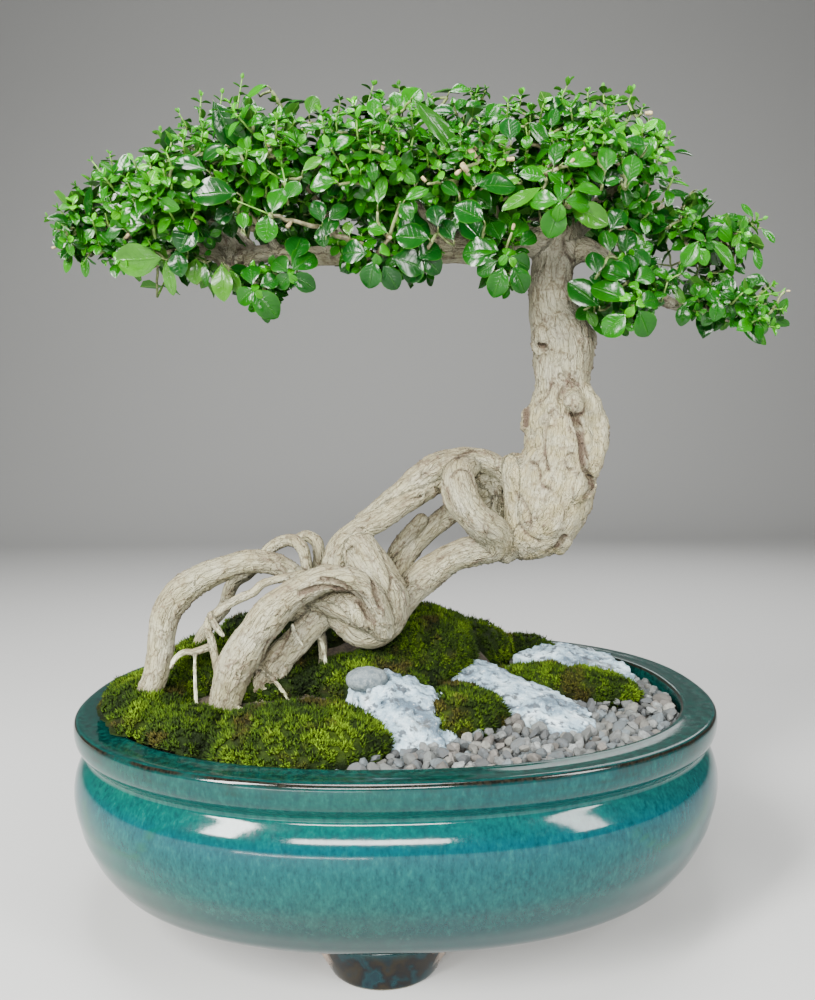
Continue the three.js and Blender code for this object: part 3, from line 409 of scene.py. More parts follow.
class Field:
    """A signed distance grid that shapes are blended into."""

    def __init__(self, lo, hi, h):
        self.lo, self.h = np.array(lo, float), h
        self.n = np.ceil((np.array(hi) - self.lo) / h).astype(int) + 1
        self.far = 4.0
        self.d = np.full(self.n, self.far, np.float32)

    def window(self, a, b):
        i = np.clip(np.floor((a - self.lo) / self.h).astype(int), 0, self.n - 1)
        j = np.clip(np.ceil((b - self.lo) / self.h).astype(int) + 1, 1, self.n)
        return i, j

    def axes(self, i, j):
        return [(np.arange(i[k], j[k]) * self.h + self.lo[k]).astype(np.float32).reshape([-1 if q == k else 1 for q in range(3)]) for k in range(3)]

    def line(self, p, pad=4.0):
        """Distance to a chain of round cones in its own window."""
        r = p[:, 3].max() + pad
        i, j = self.window(p[:, :3].min(0) - r, p[:, :3].max(0) + r)
        out = np.full(j - i, self.far, np.float32)
        for a, b in zip(p[:-1], p[1:]):
            rr = max(a[3], b[3]) + pad
            u, v = self.window(np.minimum(a[:3], b[:3]) - rr, np.maximum(a[:3], b[:3]) + rr)
            x, y, z = self.axes(u, v)
            d = (b - a)[:3]
            l2 = max(float(d @ d), 1e-6)
            t = np.clip(((x - a[0]) * d[0] + (y - a[1]) * d[1] + (z - a[2]) * d[2]) / l2, 0, 1)
            q = np.sqrt((x - a[0] - t * d[0]) ** 2 + (y - a[1] - t * d[1]) ** 2 + (z - a[2] - t * d[2]) ** 2) - (a[3] + t * (b[3] - a[3]))
            w = tuple(slice(u[k] - i[k], v[k] - i[k]) for k in range(3))
            np.minimum(out[w], q, out=out[w])
        return (i, j), out

    def ellipsoid(self, c, r, pad=4.0):
        c, r = np.array(c, float), np.array(r, float)
        i, j = self.window(c - r - pad, c + r + pad)
        x, y, z = self.axes(i, j)
        k0 = np.sqrt(((x - c[0]) / r[0]) ** 2 + ((y - c[1]) / r[1]) ** 2 + ((z - c[2]) / r[2]) ** 2)
        k1 = np.sqrt(((x - c[0]) / r[0] ** 2) ** 2 + ((y - c[1]) / r[1] ** 2) ** 2 + ((z - c[2]) / r[2] ** 2) ** 2)
        return (i, j), (k0 * (k0 - 1) / np.maximum(k1, 1e-6)).astype(np.float32)

    def join(self, win, q, k):
        i, j = win
        w = tuple(slice(i[a], j[a]) for a in range(3))
        d = self.d[w]
        h = np.clip(0.5 + 0.5 * (d - q) / k, 0, 1)
        self.d[w] = d * (1 - h) + q * h - k * h * (1 - h)

    def cut(self, win, q, k=0.6):
        i, j = win
        w = tuple(slice(i[a], j[a]) for a in range(3))
        d, q = self.d[w], -q
        h = np.clip(0.5 - 0.5 * (d - q) / k, 0, 1)
        self.d[w] = d * (1 - h) + q * h + k * h * (1 - h)

    def at(self, p):
        i = np.clip(np.round((np.asarray(p) - self.lo) / self.h).astype(int), 0, self.n - 1)
        return self.d[i[..., 0], i[..., 1], i[..., 2]]

    def first_hit(self, px, py, y0=-70, y1=60):
        for y in np.arange(y0, y1, 0.4):
            p = at_y(px, py, y)
            if self.at(p) < 0:
                return p
        return None

    def surface(self):
        g = vdb.FloatGrid(background=self.far)
        g.copyFromArray(np.clip(self.d, -self.far, self.far))
        v, t, q = g.convertToPolygons(isovalue=0.0, adaptivity=0.0)
        return v.astype(float) * self.h + self.lo, q.astype(np.int64)[:, ::-1], t.astype(np.int64)[:, ::-1] if len(t) else t


LINES = {}
for name, pts in {**STRANDS, **ROOTLETS}.items():
    LINES[name] = smooth_line(pts, 1.6)
    if name.startswith("limb"):
        LINES[name][:, 3] *= 0.62  # the twigs that carry the leaves are thin
WOOD_VOXEL = 0.84  # millimetres
wood_field = Field([-176, -56, 82], [198, 60, 374], WOOD_VOXEL)
for name, pts in LINES.items():
    p = pts.copy()
    # the girth wavers along the strand, as roots do
    s = np.concatenate([[0], np.cumsum(np.linalg.norm(np.diff(p[:, :3], axis=0), axis=1))])
    seed = sum(map(ord, name))
    waver = value_noise(np.stack([s / 13.0, np.full(len(s), seed * 0.37), np.zeros(len(s))], 1), seed)
    p[:, 3] *= 1 + 0.055 * waver
    win, q = wood_field.line(p)
    wood_field.join(win, q, BLEND.get(name, 1.6 if name.startswith("limb") else 1.0))
# the lower loop of the knot lies close under the front root
TUCK = [[*at_y(px, py, y), r] for px, py, y, r in ((316, 604, -18, 5.5), (332, 603, -21, 7.2), (348, 606, -24, 8.0), (362, 613, -26, 8.0), (375, 622, -24, 7.2))]
win, q = wood_field.line(smooth_line(TUCK, 1.6))
wood_field.join(win, q, 1.6)
win, q = wood_field.line(smooth_line(WEB, 2.0))
wood_field.join(win, q, 1.6)
for k, (x, y, z, a, b, c) in enumerate(BUMPS):
    win, q = wood_field.ellipsoid([x, y, z], [a, b, c])
    wood_field.join(win, q, 3.0 if k < 3 else 1.8)

# details seen on the front of the trunk: grooves, holes and lips, placed through the photograph's viewpoint
GROOVES = [
    # path in pixels, radius, how deep its axis lies in radii, how dark
    ([(566, 386), (562, 394), (561, 403), (565, 411), (573, 415), (580, 413), (585, 406)], 1.5, 0.15, 1.0),
    ([(573, 414), (577, 424), (580, 436), (581, 448), (582, 460), (584, 470), (589, 479), (592, 487)], 2.2, 0.35, 1.0),
    ([(577, 420), (582, 432), (584, 446), (587, 458)], 1.0, 0.2, 0.9),
    ([(526, 408), (526.5, 416), (526, 424)], 2.0, 0.1, 1.0),
    ([(589, 477), (592, 484), (590, 492), (585, 497)], 1.6, 0.1, 0.9),
    ([(549, 552), (557, 546), (564, 537)], 1.8, 0.1, 1.0),
    ([(541, 345.5), (544, 347.5)], 2.0, 0.3, 1.0),
    ([(552, 410), (547, 424), (545, 440), (546, 456), (549, 470)], 0.9, 0.2, 0.55),
    ([(560, 375), (566, 381), (571, 387)], 1.0, 0.2, 0.8),
    ([(566, 372), (571, 380), (578, 385)], 0.9, 0.3, 0.7),
    ([(549, 392), (543, 399), (535, 404)], 0.9, 0.2, 0.7),
    ([(554, 384), (548, 390), (538, 394)], 0.7, 0.3, 0.6),
    ([(566, 456), (573, 454), (577, 460), (575, 468), (568, 469), (565, 462)], 0.7, 0.2, 0.7),
    ([(543, 419), (548, 414), (554, 417), (555, 424), (549, 427), (544, 424)], 0.7, 0.2, 0.6),
    ([(532, 462), (538, 466), (541, 474), (538, 482), (531, 484)], 0.8, 0.2, 0.6),
    ([(516, 492), (524, 502), (530, 514), (531, 528)], 0.9, 0.2, 0.6),
    ([(543, 486), (553, 492), (562, 503), (568, 516)], 0.7, 0.2, 0.5),
    ([(520, 524), (528, 534), (540, 541)], 0.8, 0.2, 0.6),
    ([(369, 575), (374, 590), (380, 606)], 1.4, 0.3, 0.9),
    ([(352, 548), (346, 556), (343, 566)], 1.3, 0.2, 0.9),
    ([(300, 593), (315, 588), (330, 587), (346, 591), (359, 602), (369, 618)], 1.4, 0.2, 1.0),
    ([(322, 578), (340, 582), (355, 592), (366, 606), (374, 622)], 1.1, 0.4, 0.8),
    ([(380, 548), (386, 562), (390, 580), (388, 598)], 0.8, 0.3, 0.6),
    ([(345, 532), (352, 528), (362, 530)], 0.8, 0.3, 0.6),
    ([(236, 252), (240, 249)], 1.5, 0.0, 1.0),
    ([(228, 262), (236, 266), (243, 263)], 1.0, 0.2, 0.9),
    ([(563, 240), (566, 252), (572, 262)], 0.9, 0.3, 0.7),
    ([(592, 242), (600, 243)], 2.0, 0.0, 1.0),
    ([(236, 575), (246, 574), (252, 580)], 0.9, 0.3, 0.7),
    ([(455, 460), (470, 452), (484, 452)], 1.1, 0.3, 0.8),
    ([(452, 476), (460, 470), (470, 474), (474, 484)], 0.9, 0.3, 0.8),
    ([(447, 486), (451, 502), (460, 516), (474, 528)], 0.7, 0.3, 0.6),
    ([(268, 640), (262, 655), (259, 672)], 0.9, 0.2, 0.8),
    ([(290, 632), (283, 645), (272, 660)], 1.0, 0.2, 0.8),
    ([(420, 478), (436, 466), (448, 460)], 0.7, 0.3, 0.5),
    ([(395, 508), (410, 500), (428, 494), (444, 486)], 0.8, 0.3, 0.6),
    ([(418, 574), (430, 566), (444, 556), (460, 548)], 0.7, 0.3, 0.5),
]
# lumps that stand out of the trunk's front: path in pixels, radii along it, how far they rise
LUMPS = [
    ([(553, 414), (557, 432), (562, 450), (568, 470), (573, 492)], [5.5, 8.5, 10.0, 9.5, 7.0], 2.4),
    ([(572, 402), (573, 405)], [5.4, 5.4], 3.6),
    ([(558, 385), (561, 390)], [3.4, 3.8], 1.4),
    ([(584, 392), (591, 410), (595, 430), (593, 452), (591, 470)], [4.5, 6.0, 7.0, 6.2, 4.5], 1.4),
    ([(514, 466), (517, 478)], [7.0, 7.5], 2.0),
    ([(531, 415), (530, 425)], [4.6, 4.6], 0.9),
    ([(541, 340), (536, 346), (540, 353), (546, 350), (546, 343), (541, 340)], [2.0, 2.2, 2.2, 2.0, 2.0, 2.0], 1.2),
    ([(589, 486), (586, 494)], [3.6, 3.0], 1.8),
    ([(560, 549), (567, 541)], [3.2, 3.0], 1.4),
    ([(540, 505), (552, 520)], [8.0, 8.0], 1.4),
]
for path, rs, rise in LUMPS:
    pts = []
    for (px, py), r in zip(path, rs):
        hit = wood_field.first_hit(px, py)
        if hit is not None:
            pts.append([*(hit + unit(ray(px, py)) * (r - rise)), r])
    if len(pts) > 1:
        win, q = wood_field.line(smooth_line(pts, 1.5), 3.0)
        wood_field.join(win, q, 1.3)
groove_lines = []
for path, r, inset, shade in GROOVES:
    pts = []
    for px, py in path:
        hit = wood_field.first_hit(px, py)
        if hit is not None:
            pts.append([*(hit + unit(ray(px, py)) * inset * r), r])
    if len(pts) > 1:
        line = smooth_line(pts, 1.2)
        win, q = wood_field.line(line, 2.5)
        wood_field.cut(win, q, 0.35)
        groove_lines.append((line, shade))

wv, wq, wt = wood_field.surface()

# each vertex's place along and across the strand it belongs to
samples, frames_t, frames_n, frames_b, along, radius = [], [], [], [], [], []
for k, (name, p) in enumerate(LINES.items()):
    t, n, b = frames_of(p[:, :3])
    s = np.concatenate([[0], np.cumsum(np.linalg.norm(np.diff(p[:, :3], axis=0), axis=1))]) + 1000.0 * k
    samples.append(p[:, :3]); frames_t.append(t); frames_n.append(n); frames_b.append(b); along.append(s); radius.append(p[:, 3])
samples, frames_t, frames_n, frames_b = (np.concatenate(a) for a in (samples, frames_t, frames_n, frames_b))
along, radius = np.concatenate(along), np.concatenate(radius)
owner = np.empty(len(wv), np.int64)
for a in range(0, len(wv), 8000):
    v = wv[a : a + 8000]
    d2 = (v**2).sum(1)[:, None] - 2 * v @ samples.T + (samples**2).sum(1)
    owner[a : a + 8000] = np.argmin(np.sqrt(np.maximum(d2, 0)) - radius, axis=1)
rel = wv - samples[owner]
bark = np.stack([(rel * frames_n[owner]).sum(1), (rel * frames_b[owner]).sum(1), along[owner] + (rel * frames_t[owner]).sum(1)], 1)
girth = radius[owner]


def vertex_normals(v, quads, tris=()):
    n = np.zeros_like(v)
    for f in (quads, tris):
        if len(f):
            a = np.cross(v[f[:, 2]] - v[f[:, 0]], v[f[:, -1]] - v[f[:, 1]]) if f.shape[1] == 4 else np.cross(v[f[:, 1]] - v[f[:, 0]], v[f[:, 2]] - v[f[:, 0]])
            for k in range(f.shape[1]):
                for c in range(3):
                    n[:, c] += np.bincount(f[:, k], a[:, c], len(v))
    return unit(n)


wn = vertex_normals(wv, wq, wt)
size = np.clip(girth / 7.0, 0.12, 1.6)
burl = np.clip((wv[:, 0] - 52) / 8, 0, 1) * np.clip((262 - wv[:, 2]) / 20, 0, 1) * np.clip((wv[:, 2] - 160) / 8, 0, 1)
across = bark * [0.16, 0.16, 0.022]
flute = fbm(across, 5, 3)
lumps = fbm(wv * 0.075, 21, 3)
dents = fbm(bark * [0.19, 0.19, 0.12], 25, 3)
crack = 1 - np.abs(fbm(bark * [0.30, 0.30, 0.060] + 0.35 * fbm(wv * 0.2, 13, 2)[:, None], 9, 2))
crack = np.clip((crack - 0.86) / 0.14, 0, 1) ** 1.3 * np.clip(fbm(wv * 0.09, 14, 2) * 2.2 + 0.55, 0, 1)
fold = 1 - np.abs(fbm(bark * [0.11, 0.11, 0.34], 19, 2))
fold = np.clip((fold - 0.88) / 0.12, 0, 1) * np.clip(fbm(wv * 0.08, 15, 2) * 2.4 + 0.15, 0, 1)
fine = fbm(bark * [0.9, 0.9, 0.30], 33, 2)
warts = fbm(wv * 0.20, 41, 4)
pits, tag = worley(wv * 0.155, 8)
pit = np.clip(1 - pits / (0.08 + 0.12 * tag), 0, 1) * (tag > 0.55)
spread = np.clip(1 - burl, 0, 1)
shift = size * (0.26 * flute * (0.25 + 0.75 * spread) + 0.30 * lumps + 0.22 * dents) - 0.62 * crack * size**0.5 - 0.45 * fold * size**0.5 + 0.10 * fine
shift += burl * (0.42 * warts - 1.1 * pit)
# knobs: the gnarled lump on the left branch and the foot of the low root
knob = np.exp(-(np.linalg.norm(wv - [-81.5, -2, 323], axis=1) / 11) ** 2) + 0.8 * np.exp(-(np.linalg.norm(wv - [-66, -25, 112], axis=1) / 15) ** 2)
shift += knob * 1.5 * fbm(wv * 0.3, 61, 3)
wv = wv + wn * shift[:, None]
pix = project(wv)


def patch(cx, cy, rx, ry, turn, soft=0.35):
    """A soft oval mask in the photograph's frame, for vertices that face the viewpoint."""
    c, s = math.cos(math.radians(turn)), math.sin(math.radians(turn))
    u = ((pix[:, 0] - cx) * c + (pix[:, 1] - cy) * s) / rx
    v = (-(pix[:, 0] - cx) * s + (pix[:, 1] - cy) * c) / ry
    return np.clip((1 - np.hypot(u, v)) / soft, 0, 1) * np.clip(-(wn @ FORWARD) * 3, 0, 1)


scar = np.maximum(patch(559, 440, 13, 42, -14), 0.6 * patch(590, 300, 12, 40, 0, 0.8)) * (wv[:, 0] > 40)
# the grooves and holes are painted dark: their own dark colour, with painted shade in them
groove_dark = np.zeros(len(wv))
for line, shade in groove_lines:
    lo_, hi_ = line[:, :3].min(0) - 5, line[:, :3].max(0) + 5
    near = np.nonzero(((wv > lo_) & (wv < hi_)).all(1))[0]
    if len(near):
        d = np.min(np.linalg.norm(wv[near][:, None] - line[None, :, :3], axis=2) - line[None, :, 3], axis=1)
        groove_dark[near] = np.maximum(groove_dark[near], shade * np.clip(1 - (d + 0.25) / 0.9, 0, 1))
# the carved cracks, folds, burl pits and grooves are painted dark: the bark's own dark cracks, with painted shade in
# these recesses
wood_dark = np.clip(0.95 * crack + 0.75 * fold + 0.8 * burl * pit + groove_dark, 0, 1)
# painted shade: the hollows and the gaps between strands, where the light hardly reaches, are painted dark
hollow_shade = np.zeros(len(wv))
for reach in (3.2, 3.8):
    hollow_shade = np.maximum(hollow_shade, np.clip(1.7 * (reach - wood_field.at(wv + wn * (reach + 0.5)) + 0.5) / reach - 0.62, 0, 1))
ochre = np.clip(fbm(wv * 0.055, 77, 3) * 1.3 - 0.1, 0, 1)
moss_tint = np.clip(fbm(wv * 0.05, 71, 3) * 0.9 - 0.05, 0, 1) * np.clip((205 - wv[:, 2]) / 60, 0, 1) * np.clip(wn[:, 2] * 0.8 + 0.6, 0, 1)

# painted shade: the undersides are painted darker and browner; the upper trunk is cleaner
shade = np.clip(-wn[:, 2] * 1.25 - 0.15, 0, 1) * np.clip(0.8 + 0.9 * fbm(wv * 0.10, 91, 2), 0.25, 1)
clean = np.clip((wv[:, 2] - 262) / 14, 0, 1) * np.clip((wv[:, 0] - 50) / 10, 0, 1) * np.clip((352 - wv[:, 2]) / 10, 0, 1)

sh = Shader("bark")
co = sh.attr("bark_co", "Vector")
pos = sh.place()
streak = sh.noise(sh.scaled(co, (0.22, 0.22, 0.060)), 1.0, 5, 0.60)
fibre = sh.noise(sh.scaled(co, (1.5, 1.5, 0.26)), 1.0, 4, 0.62)
blotch = sh.noise(pos, 70.0, 5, 0.62)
patches = sh.noise(pos, 190.0, 4, 0.6)
speck = sh.noise(pos, 820.0, 3, 0.6)
hair = sh.cells(sh.scaled(co, (0.55, 0.55, 0.11)), 1.0, "DISTANCE_TO_EDGE")
wrinkle = sh.cells(sh.scaled(co, (0.16, 0.16, 0.62)), 1.0, "DISTANCE_TO_EDGE")
base = sh.ramp(streak, [(0.0, (0.50, 0.50, 0.30)), (0.34, (0.74, 0.75, 0.49)), (0.45, (0.92, 0.94, 0.66)), (0.58, (0.98, 1.0, 0.77)), (1.0, (1.0, 1.0, 0.86))])
base = sh.mix(sh.fit(blotch, 0.51, 0.66, 0, 0.55), base, (0.66, 0.66, 0.41))
base = sh.mix(sh.fit(blotch, 0.46, 0.32, 0, 0.55), base, (0.97, 1.0, 0.88))
base = sh.mix(sh.fit(patches, 0.54, 0.66, 0, 0.45), base, (0.48, 0.47, 0.30))
base = sh.mix(sh.math("MULTIPLY", sh.attr("ochre"), 0.34), base, (0.74, 0.70, 0.36))
base = sh.mix(sh.math("MULTIPLY", sh.attr("clean"), 0.62), base, sh.mix(sh.fit(blotch, 0.40, 0.60), (0.97, 1.0, 0.86), (0.86, 0.87, 0.64)))
# painted shade on the undersides
base = sh.mix(sh.math("MULTIPLY", sh.attr("shade"), 0.62), base, sh.mix(sh.fit(streak, 0.40, 0.60), (0.27, 0.22, 0.11), (0.50, 0.45, 0.26)))
base = sh.mix(sh.fit(fibre, 0.41, 0.33, 0, 0.55), base, (0.24, 0.20, 0.11))
plates = sh.cells(sh.n("VectorMath", {0: sh.scaled(co, (0.26, 0.26, 0.085)), 1: sh.scaled(sh.n("TexNoise", {"Vector": pos, "Scale": 160.0, "Detail": 3.0}).outputs["Color"], (0.9, 0.9, 0.9))}, operation="ADD").outputs[0], 1.0, "DISTANCE_TO_EDGE")
base = sh.mix(sh.math("MULTIPLY", sh.fit(plates, 0.060, 0.012), sh.math("MULTIPLY", sh.fit(blotch, 0.42, 0.54, 0, 0.85), sh.fit(fibre, 0.43, 0.53, 0.15, 1.0))), base, (0.10, 0.07, 0.035))
base = sh.mix(sh.math("MULTIPLY", sh.fit(hair, 0.055, 0.0), sh.fit(patches, 0.44, 0.54, 0, 0.85)), base, (0.10, 0.07, 0.035))
base = sh.mix(sh.math("MULTIPLY", sh.fit(wrinkle, 0.045, 0.0), sh.fit(blotch, 0.52, 0.64, 0, 0.45)), base, (0.16, 0.11, 0.07))
base = sh.mix(sh.fit(speck, 0.61, 0.70, 0, 0.45), base, (0.22, 0.16, 0.10))
base = sh.mix(sh.fit(speck, 0.38, 0.29, 0, 0.55), base, (0.92, 0.90, 0.85))
burly = sh.mix(sh.fit(sh.noise(pos, 130.0, 5, 0.62), 0.42, 0.58), (1.0, 1.0, 0.76), (0.84, 0.76, 0.36))
burly = sh.mix(sh.fit(sh.noise(pos, 520.0, 4, 0.7), 0.55, 0.66, 0, 0.75), burly, (0.30, 0.22, 0.13))
base = sh.mix(sh.math("MULTIPLY", sh.attr("burl"), 0.68), base, burly)
base = sh.mix(sh.math("MULTIPLY", sh.attr("scar"), sh.fit(sh.noise(pos, 240.0, 4, 0.6), 0.38, 0.52, 0.35, 1)), base, (0.74, 0.80, 0.82))
base = sh.mix(sh.math("MULTIPLY", sh.attr("algae"), 0.60), base, (0.48, 0.52, 0.20))
# painted shade in the hollows and the gaps between strands
base = sh.mix(sh.math("MULTIPLY", sh.attr("hollow_shade"), 1.0), base, sh.mix(0.80, base, (0.085, 0.058, 0.030)))
# dark cracks, pits and grooves, partly painted shade
base = sh.mix(sh.attr("dark"), base, (0.075, 0.048, 0.030))
height = sh.math("ADD", sh.math("MULTIPLY", fibre, 0.6), sh.math("ADD", sh.math("MULTIPLY", speck, 0.5), sh.math("MULTIPLY", patches, 0.9)))
height = sh.math("ADD", height, sh.math("MULTIPLY", sh.fit(hair, 0.0, 0.10), 0.35))
height = sh.math("ADD", height, sh.math("MULTIPLY", sh.fit(plates, 0.0, 0.10), 0.6))
bark_material = sh.finish(level=(0.98, 1.0, 0.95), Base_Color=base, Roughness=sh.fit(streak, 0.2, 0.8, 0.85, 0.66), Normal=sh.bump(height, 0.0011, 0.9))

wood = add_mesh("tree_wood_grown", wv, [wt, wq] if len(wt) else [wq], [bark_material],
                points={"bark_co": bark, "burl": np.clip(burl * 0.85, 0, 1), "scar": scar, "dark": wood_dark, "algae": moss_tint, "ochre": ochre, "hollow_shade": hollow_shade, "shade": shade, "clean": clean})
thin_out(wood, 184000)
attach(wood, "root")
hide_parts(*[n for n in frame["nodes"] if n.startswith("tree_")])


# ------------------------------------------------------------------ pot
OUTER = [(33.5, 14), (25, 18), (15.8, 24), (11.3, 30), (7.5, 36), (4.7, 42), (2.3, 48), (0.88, 54), (-0.4, 60), (-0.8, 67), (0, 73), (1.4, 77), (3.4, 80.3), (5.1, 82.8), (4.5, 85.3), (2.2, 87.6), (0.6, 90.2), (-0.1, 93), (-0.3, 96)]
LIP = [(-0.1, 98.2), (0.5, 99.5), (1.8, 100.0), (4.5, 99.9), (8, 99.6), (11.5, 99.7), (13.8, 99.9), (15.2, 99.5), (16.1, 98.4)]
INNER = [(16.4, 96.8), (16.0, 93.5), (15.2, 90), (12, 80), (9.6, 68), (10.4, 54), (14, 42), (21, 30.5), (27, 24.5), (33, 22.2), (45, 22)]


def curve2(points, step):
    q = smooth_line([[a, b, 0, 0] for a, b in points], step)
    return q[:, :2]


outer, lip, inner = curve2(OUTER, 2.3), curve2([OUTER[-1]] + LIP + [INNER[0]], 0.75), curve2(INNER, 5.0)
profile = np.concatenate([outer[:-1], lip[:-1], inner])
AROUND = 216
ang = np.arange(AROUND) * 2 * np.pi / AROUND
ca, sa = np.cos(ang), np.sin(ang)
ox, oy = np.sign(ca) * np.abs(ca) ** (2 / POWER), np.sign(sa) * np.abs(sa) ** (2 / POWER)
rings = []
for k, (inset, z) in enumerate(profile):
    # thrown and glazed by hand: the wall wavers a little
    w = 0.22 * np.sin(3 * ang + 0.7) + 0.16 * np.sin(5 * ang + 2.1 + z * 0.02) if 20 < z < 99 else 0 * ang
    rings.append(np.stack([(HALF_A - inset + w) * ox, (HALF_B - inset + w) * oy, np.full(AROUND, z) + (0.18 * np.sin(2 * ang + 1.3) if z > 84 else 0)], 1))
pv = np.concatenate(rings + [np.array([[0, 0, 14.0]]), np.array([[0, 0, 22.0]])])
m = len(profile)
a = np.arange(AROUND)
b = (a + 1) % AROUND
quads = np.concatenate([np.stack([k * AROUND + a, k * AROUND + b, (k + 1) * AROUND + b, (k + 1) * AROUND + a], 1) for k in range(m - 1)])
under, floor = m * AROUND, m * AROUND + 1
tris = np.concatenate([np.stack([np.full(AROUND, under), b, a], 1), np.stack([np.full(AROUND, floor), (m - 1) * AROUND + a, (m - 1) * AROUND + b], 1)])
station = np.repeat(np.arange(m), AROUND)
inset_at = np.concatenate([profile[station, 0], [160, 160]])
lip_at = np.concatenate([np.where((station >= len(outer) - 2) & (station <= len(outer) + len(lip) - 2), 1.0, 0.0), [0, 0]])
inside_at = np.concatenate([np.where(station > len(outer) + len(lip) - 3, 1.0, 0.0), [0, 1]])

# four feet, each a half-round block that leans in towards its sole
feet = Gather()


def foot(cx, cy, turn):
    c, s = math.cos(math.radians(turn)), math.sin(math.radians(turn))
    outline = [(29 * math.cos(t), -13 + 26 * (abs(math.sin(t)) ** 0.8)) for t in np.linspace(0, math.pi, 25)]
    outline = [(x, -y) for x, y in outline]
    line = np.array(outline)
    n = 14
    flat = np.stack([np.linspace(line[-1, 0], line[0, 0], n + 2)[1:-1], np.full(n, line[0, 1])], 1)
    loop = np.concatenate([line, flat])
    steps = [(0.78, 0.92, 0.35), (0.82, 0.97, 0.0), (0.85, 0.99, 0.5), (0.88, 1.00, 2.0), (0.95, 1.02, 5), (1.04, 1.05, 9), (1.12, 1.08, 12.5), (1.19, 1.11, 15), (1.25, 1.15, 17.5)]
    vs = []
    for kx, ky, z in steps:
        q = loop * [kx, ky]
        vs.append(np.stack([cx + q[:, 0] * c - q[:, 1] * s, cy + q[:, 0] * s + q[:, 1] * c, np.full(len(q), z)], 1))
    v = np.concatenate(vs)
    nl = len(loop)
    i = np.arange(nl)
    j = (i + 1) % nl
    f = np.concatenate([np.stack([k * nl + j, k * nl + i, (k + 1) * nl + i, (k + 1) * nl + j], 1) for k in range(len(steps) - 1)])
    v = np.concatenate([v, [v[:nl].mean(0), v[-nl:].mean(0)]])
    t = np.concatenate([np.stack([np.full(nl, len(v) - 2), i, j], 1), np.stack([np.full(nl, len(v) - 1), (len(steps) - 1) * nl + j, (len(steps) - 1) * nl + i], 1)])
    feet.add(v, [f, t])


for place in ((-8, -83, 0), (8, 83, 180), (-116, 0, -90), (116, 0, 90)):
    foot(*place)
fv, ff, _, _ = feet.parts()

sh = Shader("pot_glaze")
pos = sh.place()
xyz = sh.n("SeparateXYZ", {0: pos})
z = xyz.outputs[2]
slow = sh.noise(pos, 14.0, 3, 0.55)
broad = sh.noise(pos, 5.0, 2, 0.5)
mottle = sh.noise(sh.scaled(pos, (1, 1, 0.55)), 300.0, 4, 0.65)
grain = sh.noise(sh.scaled(pos, (1, 1, 0.45)), 760.0, 3, 0.6)
zz = sh.math("ADD", z, sh.math("MULTIPLY", sh.math("SUBTRACT", slow, 0.5), 0.010))
zc = sh.fit(zz, 0.0, 0.1)
# glaze colour by height: towards the bottom the belly is painted much darker than its greyer green, painted shade
body = sh.ramp(zc, [(0.0, (0.006, 0.020, 0.015)), (0.18, (0.011, 0.034, 0.026)), (0.36, (0.016, 0.054, 0.041)), (0.47, (0.014, 0.078, 0.061)), (0.55, (0.003, 0.090, 0.079)), (0.66, (0.001, 0.086, 0.086)), (0.74, (0.001, 0.074, 0.092)), (0.785, (0.003, 0.088, 0.078)), (0.85, (0.009, 0.098, 0.072)), (0.91, (0.004, 0.078, 0.062)), (1.0, (0.003, 0.055, 0.046))])
body = sh.mix(sh.fit(broad, 0.38, 0.62, 0, 0.40), body, (0.001, 0.056, 0.085))
body = sh.mix(sh.fit(mottle, 0.47, 0.62, 0, 0.40), body, (0.001, 0.036, 0.045))
body = sh.mix(sh.fit(mottle, 0.45, 0.33, 0, 0.18), body, (0.022, 0.180, 0.150))
body = sh.mix(sh.fit(grain, 0.50, 0.66, 0, 0.45), body, (0.001, 0.026, 0.036))
body = sh.mix(sh.fit(grain, 0.44, 0.32, 0, 0.14), body, (0.050, 0.230, 0.190))
# lip: darker green, drawn in fine streaks across it
lipc = sh.mix(sh.fit(sh.noise(pos, 330.0, 4, 0.6), 0.42, 0.60), (0.001, 0.020, 0.018), (0.002, 0.050, 0.041))
lipc = sh.mix(sh.fit(grain, 0.52, 0.70, 0, 0.6), lipc, (0.002, 0.030, 0.030))
lipc = sh.mix(sh.fit(grain, 0.42, 0.30, 0, 0.30), lipc, (0.018, 0.115, 0.088))
inset = sh.attr("inset")
lipness = sh.math("MULTIPLY", sh.attr("lip"), sh.fit(inset, 0.4, 2.2))
colour = sh.mix(lipness, body, lipc)
# brown lines where the glaze runs thin: on the outer and the inner edge of the lip
wob = sh.math("MULTIPLY", sh.math("SUBTRACT", sh.noise(pos, 60.0, 3, 0.6), 0.5), 0.9)
def line_mask(at, half):
    d = sh.math("ABSOLUTE", sh.math("SUBTRACT", sh.math("ADD", inset, wob), at))
    return sh.math("MULTIPLY", sh.fit(d, half, half * 0.35), sh.attr("lip"))
edge = sh.math("MAXIMUM", line_mask(0.45, 0.75), line_mask(15.4, 0.7))
edge = sh.math("MULTIPLY", edge, sh.fit(sh.noise(pos, 38.0, 2, 0.5), 0.34, 0.44, 0.45, 1.0))
colour = sh.mix(edge, colour, sh.mix(sh.fit(grain, 0.4, 0.6), (0.008, 0.005, 0.004), (0.034, 0.017, 0.011)))
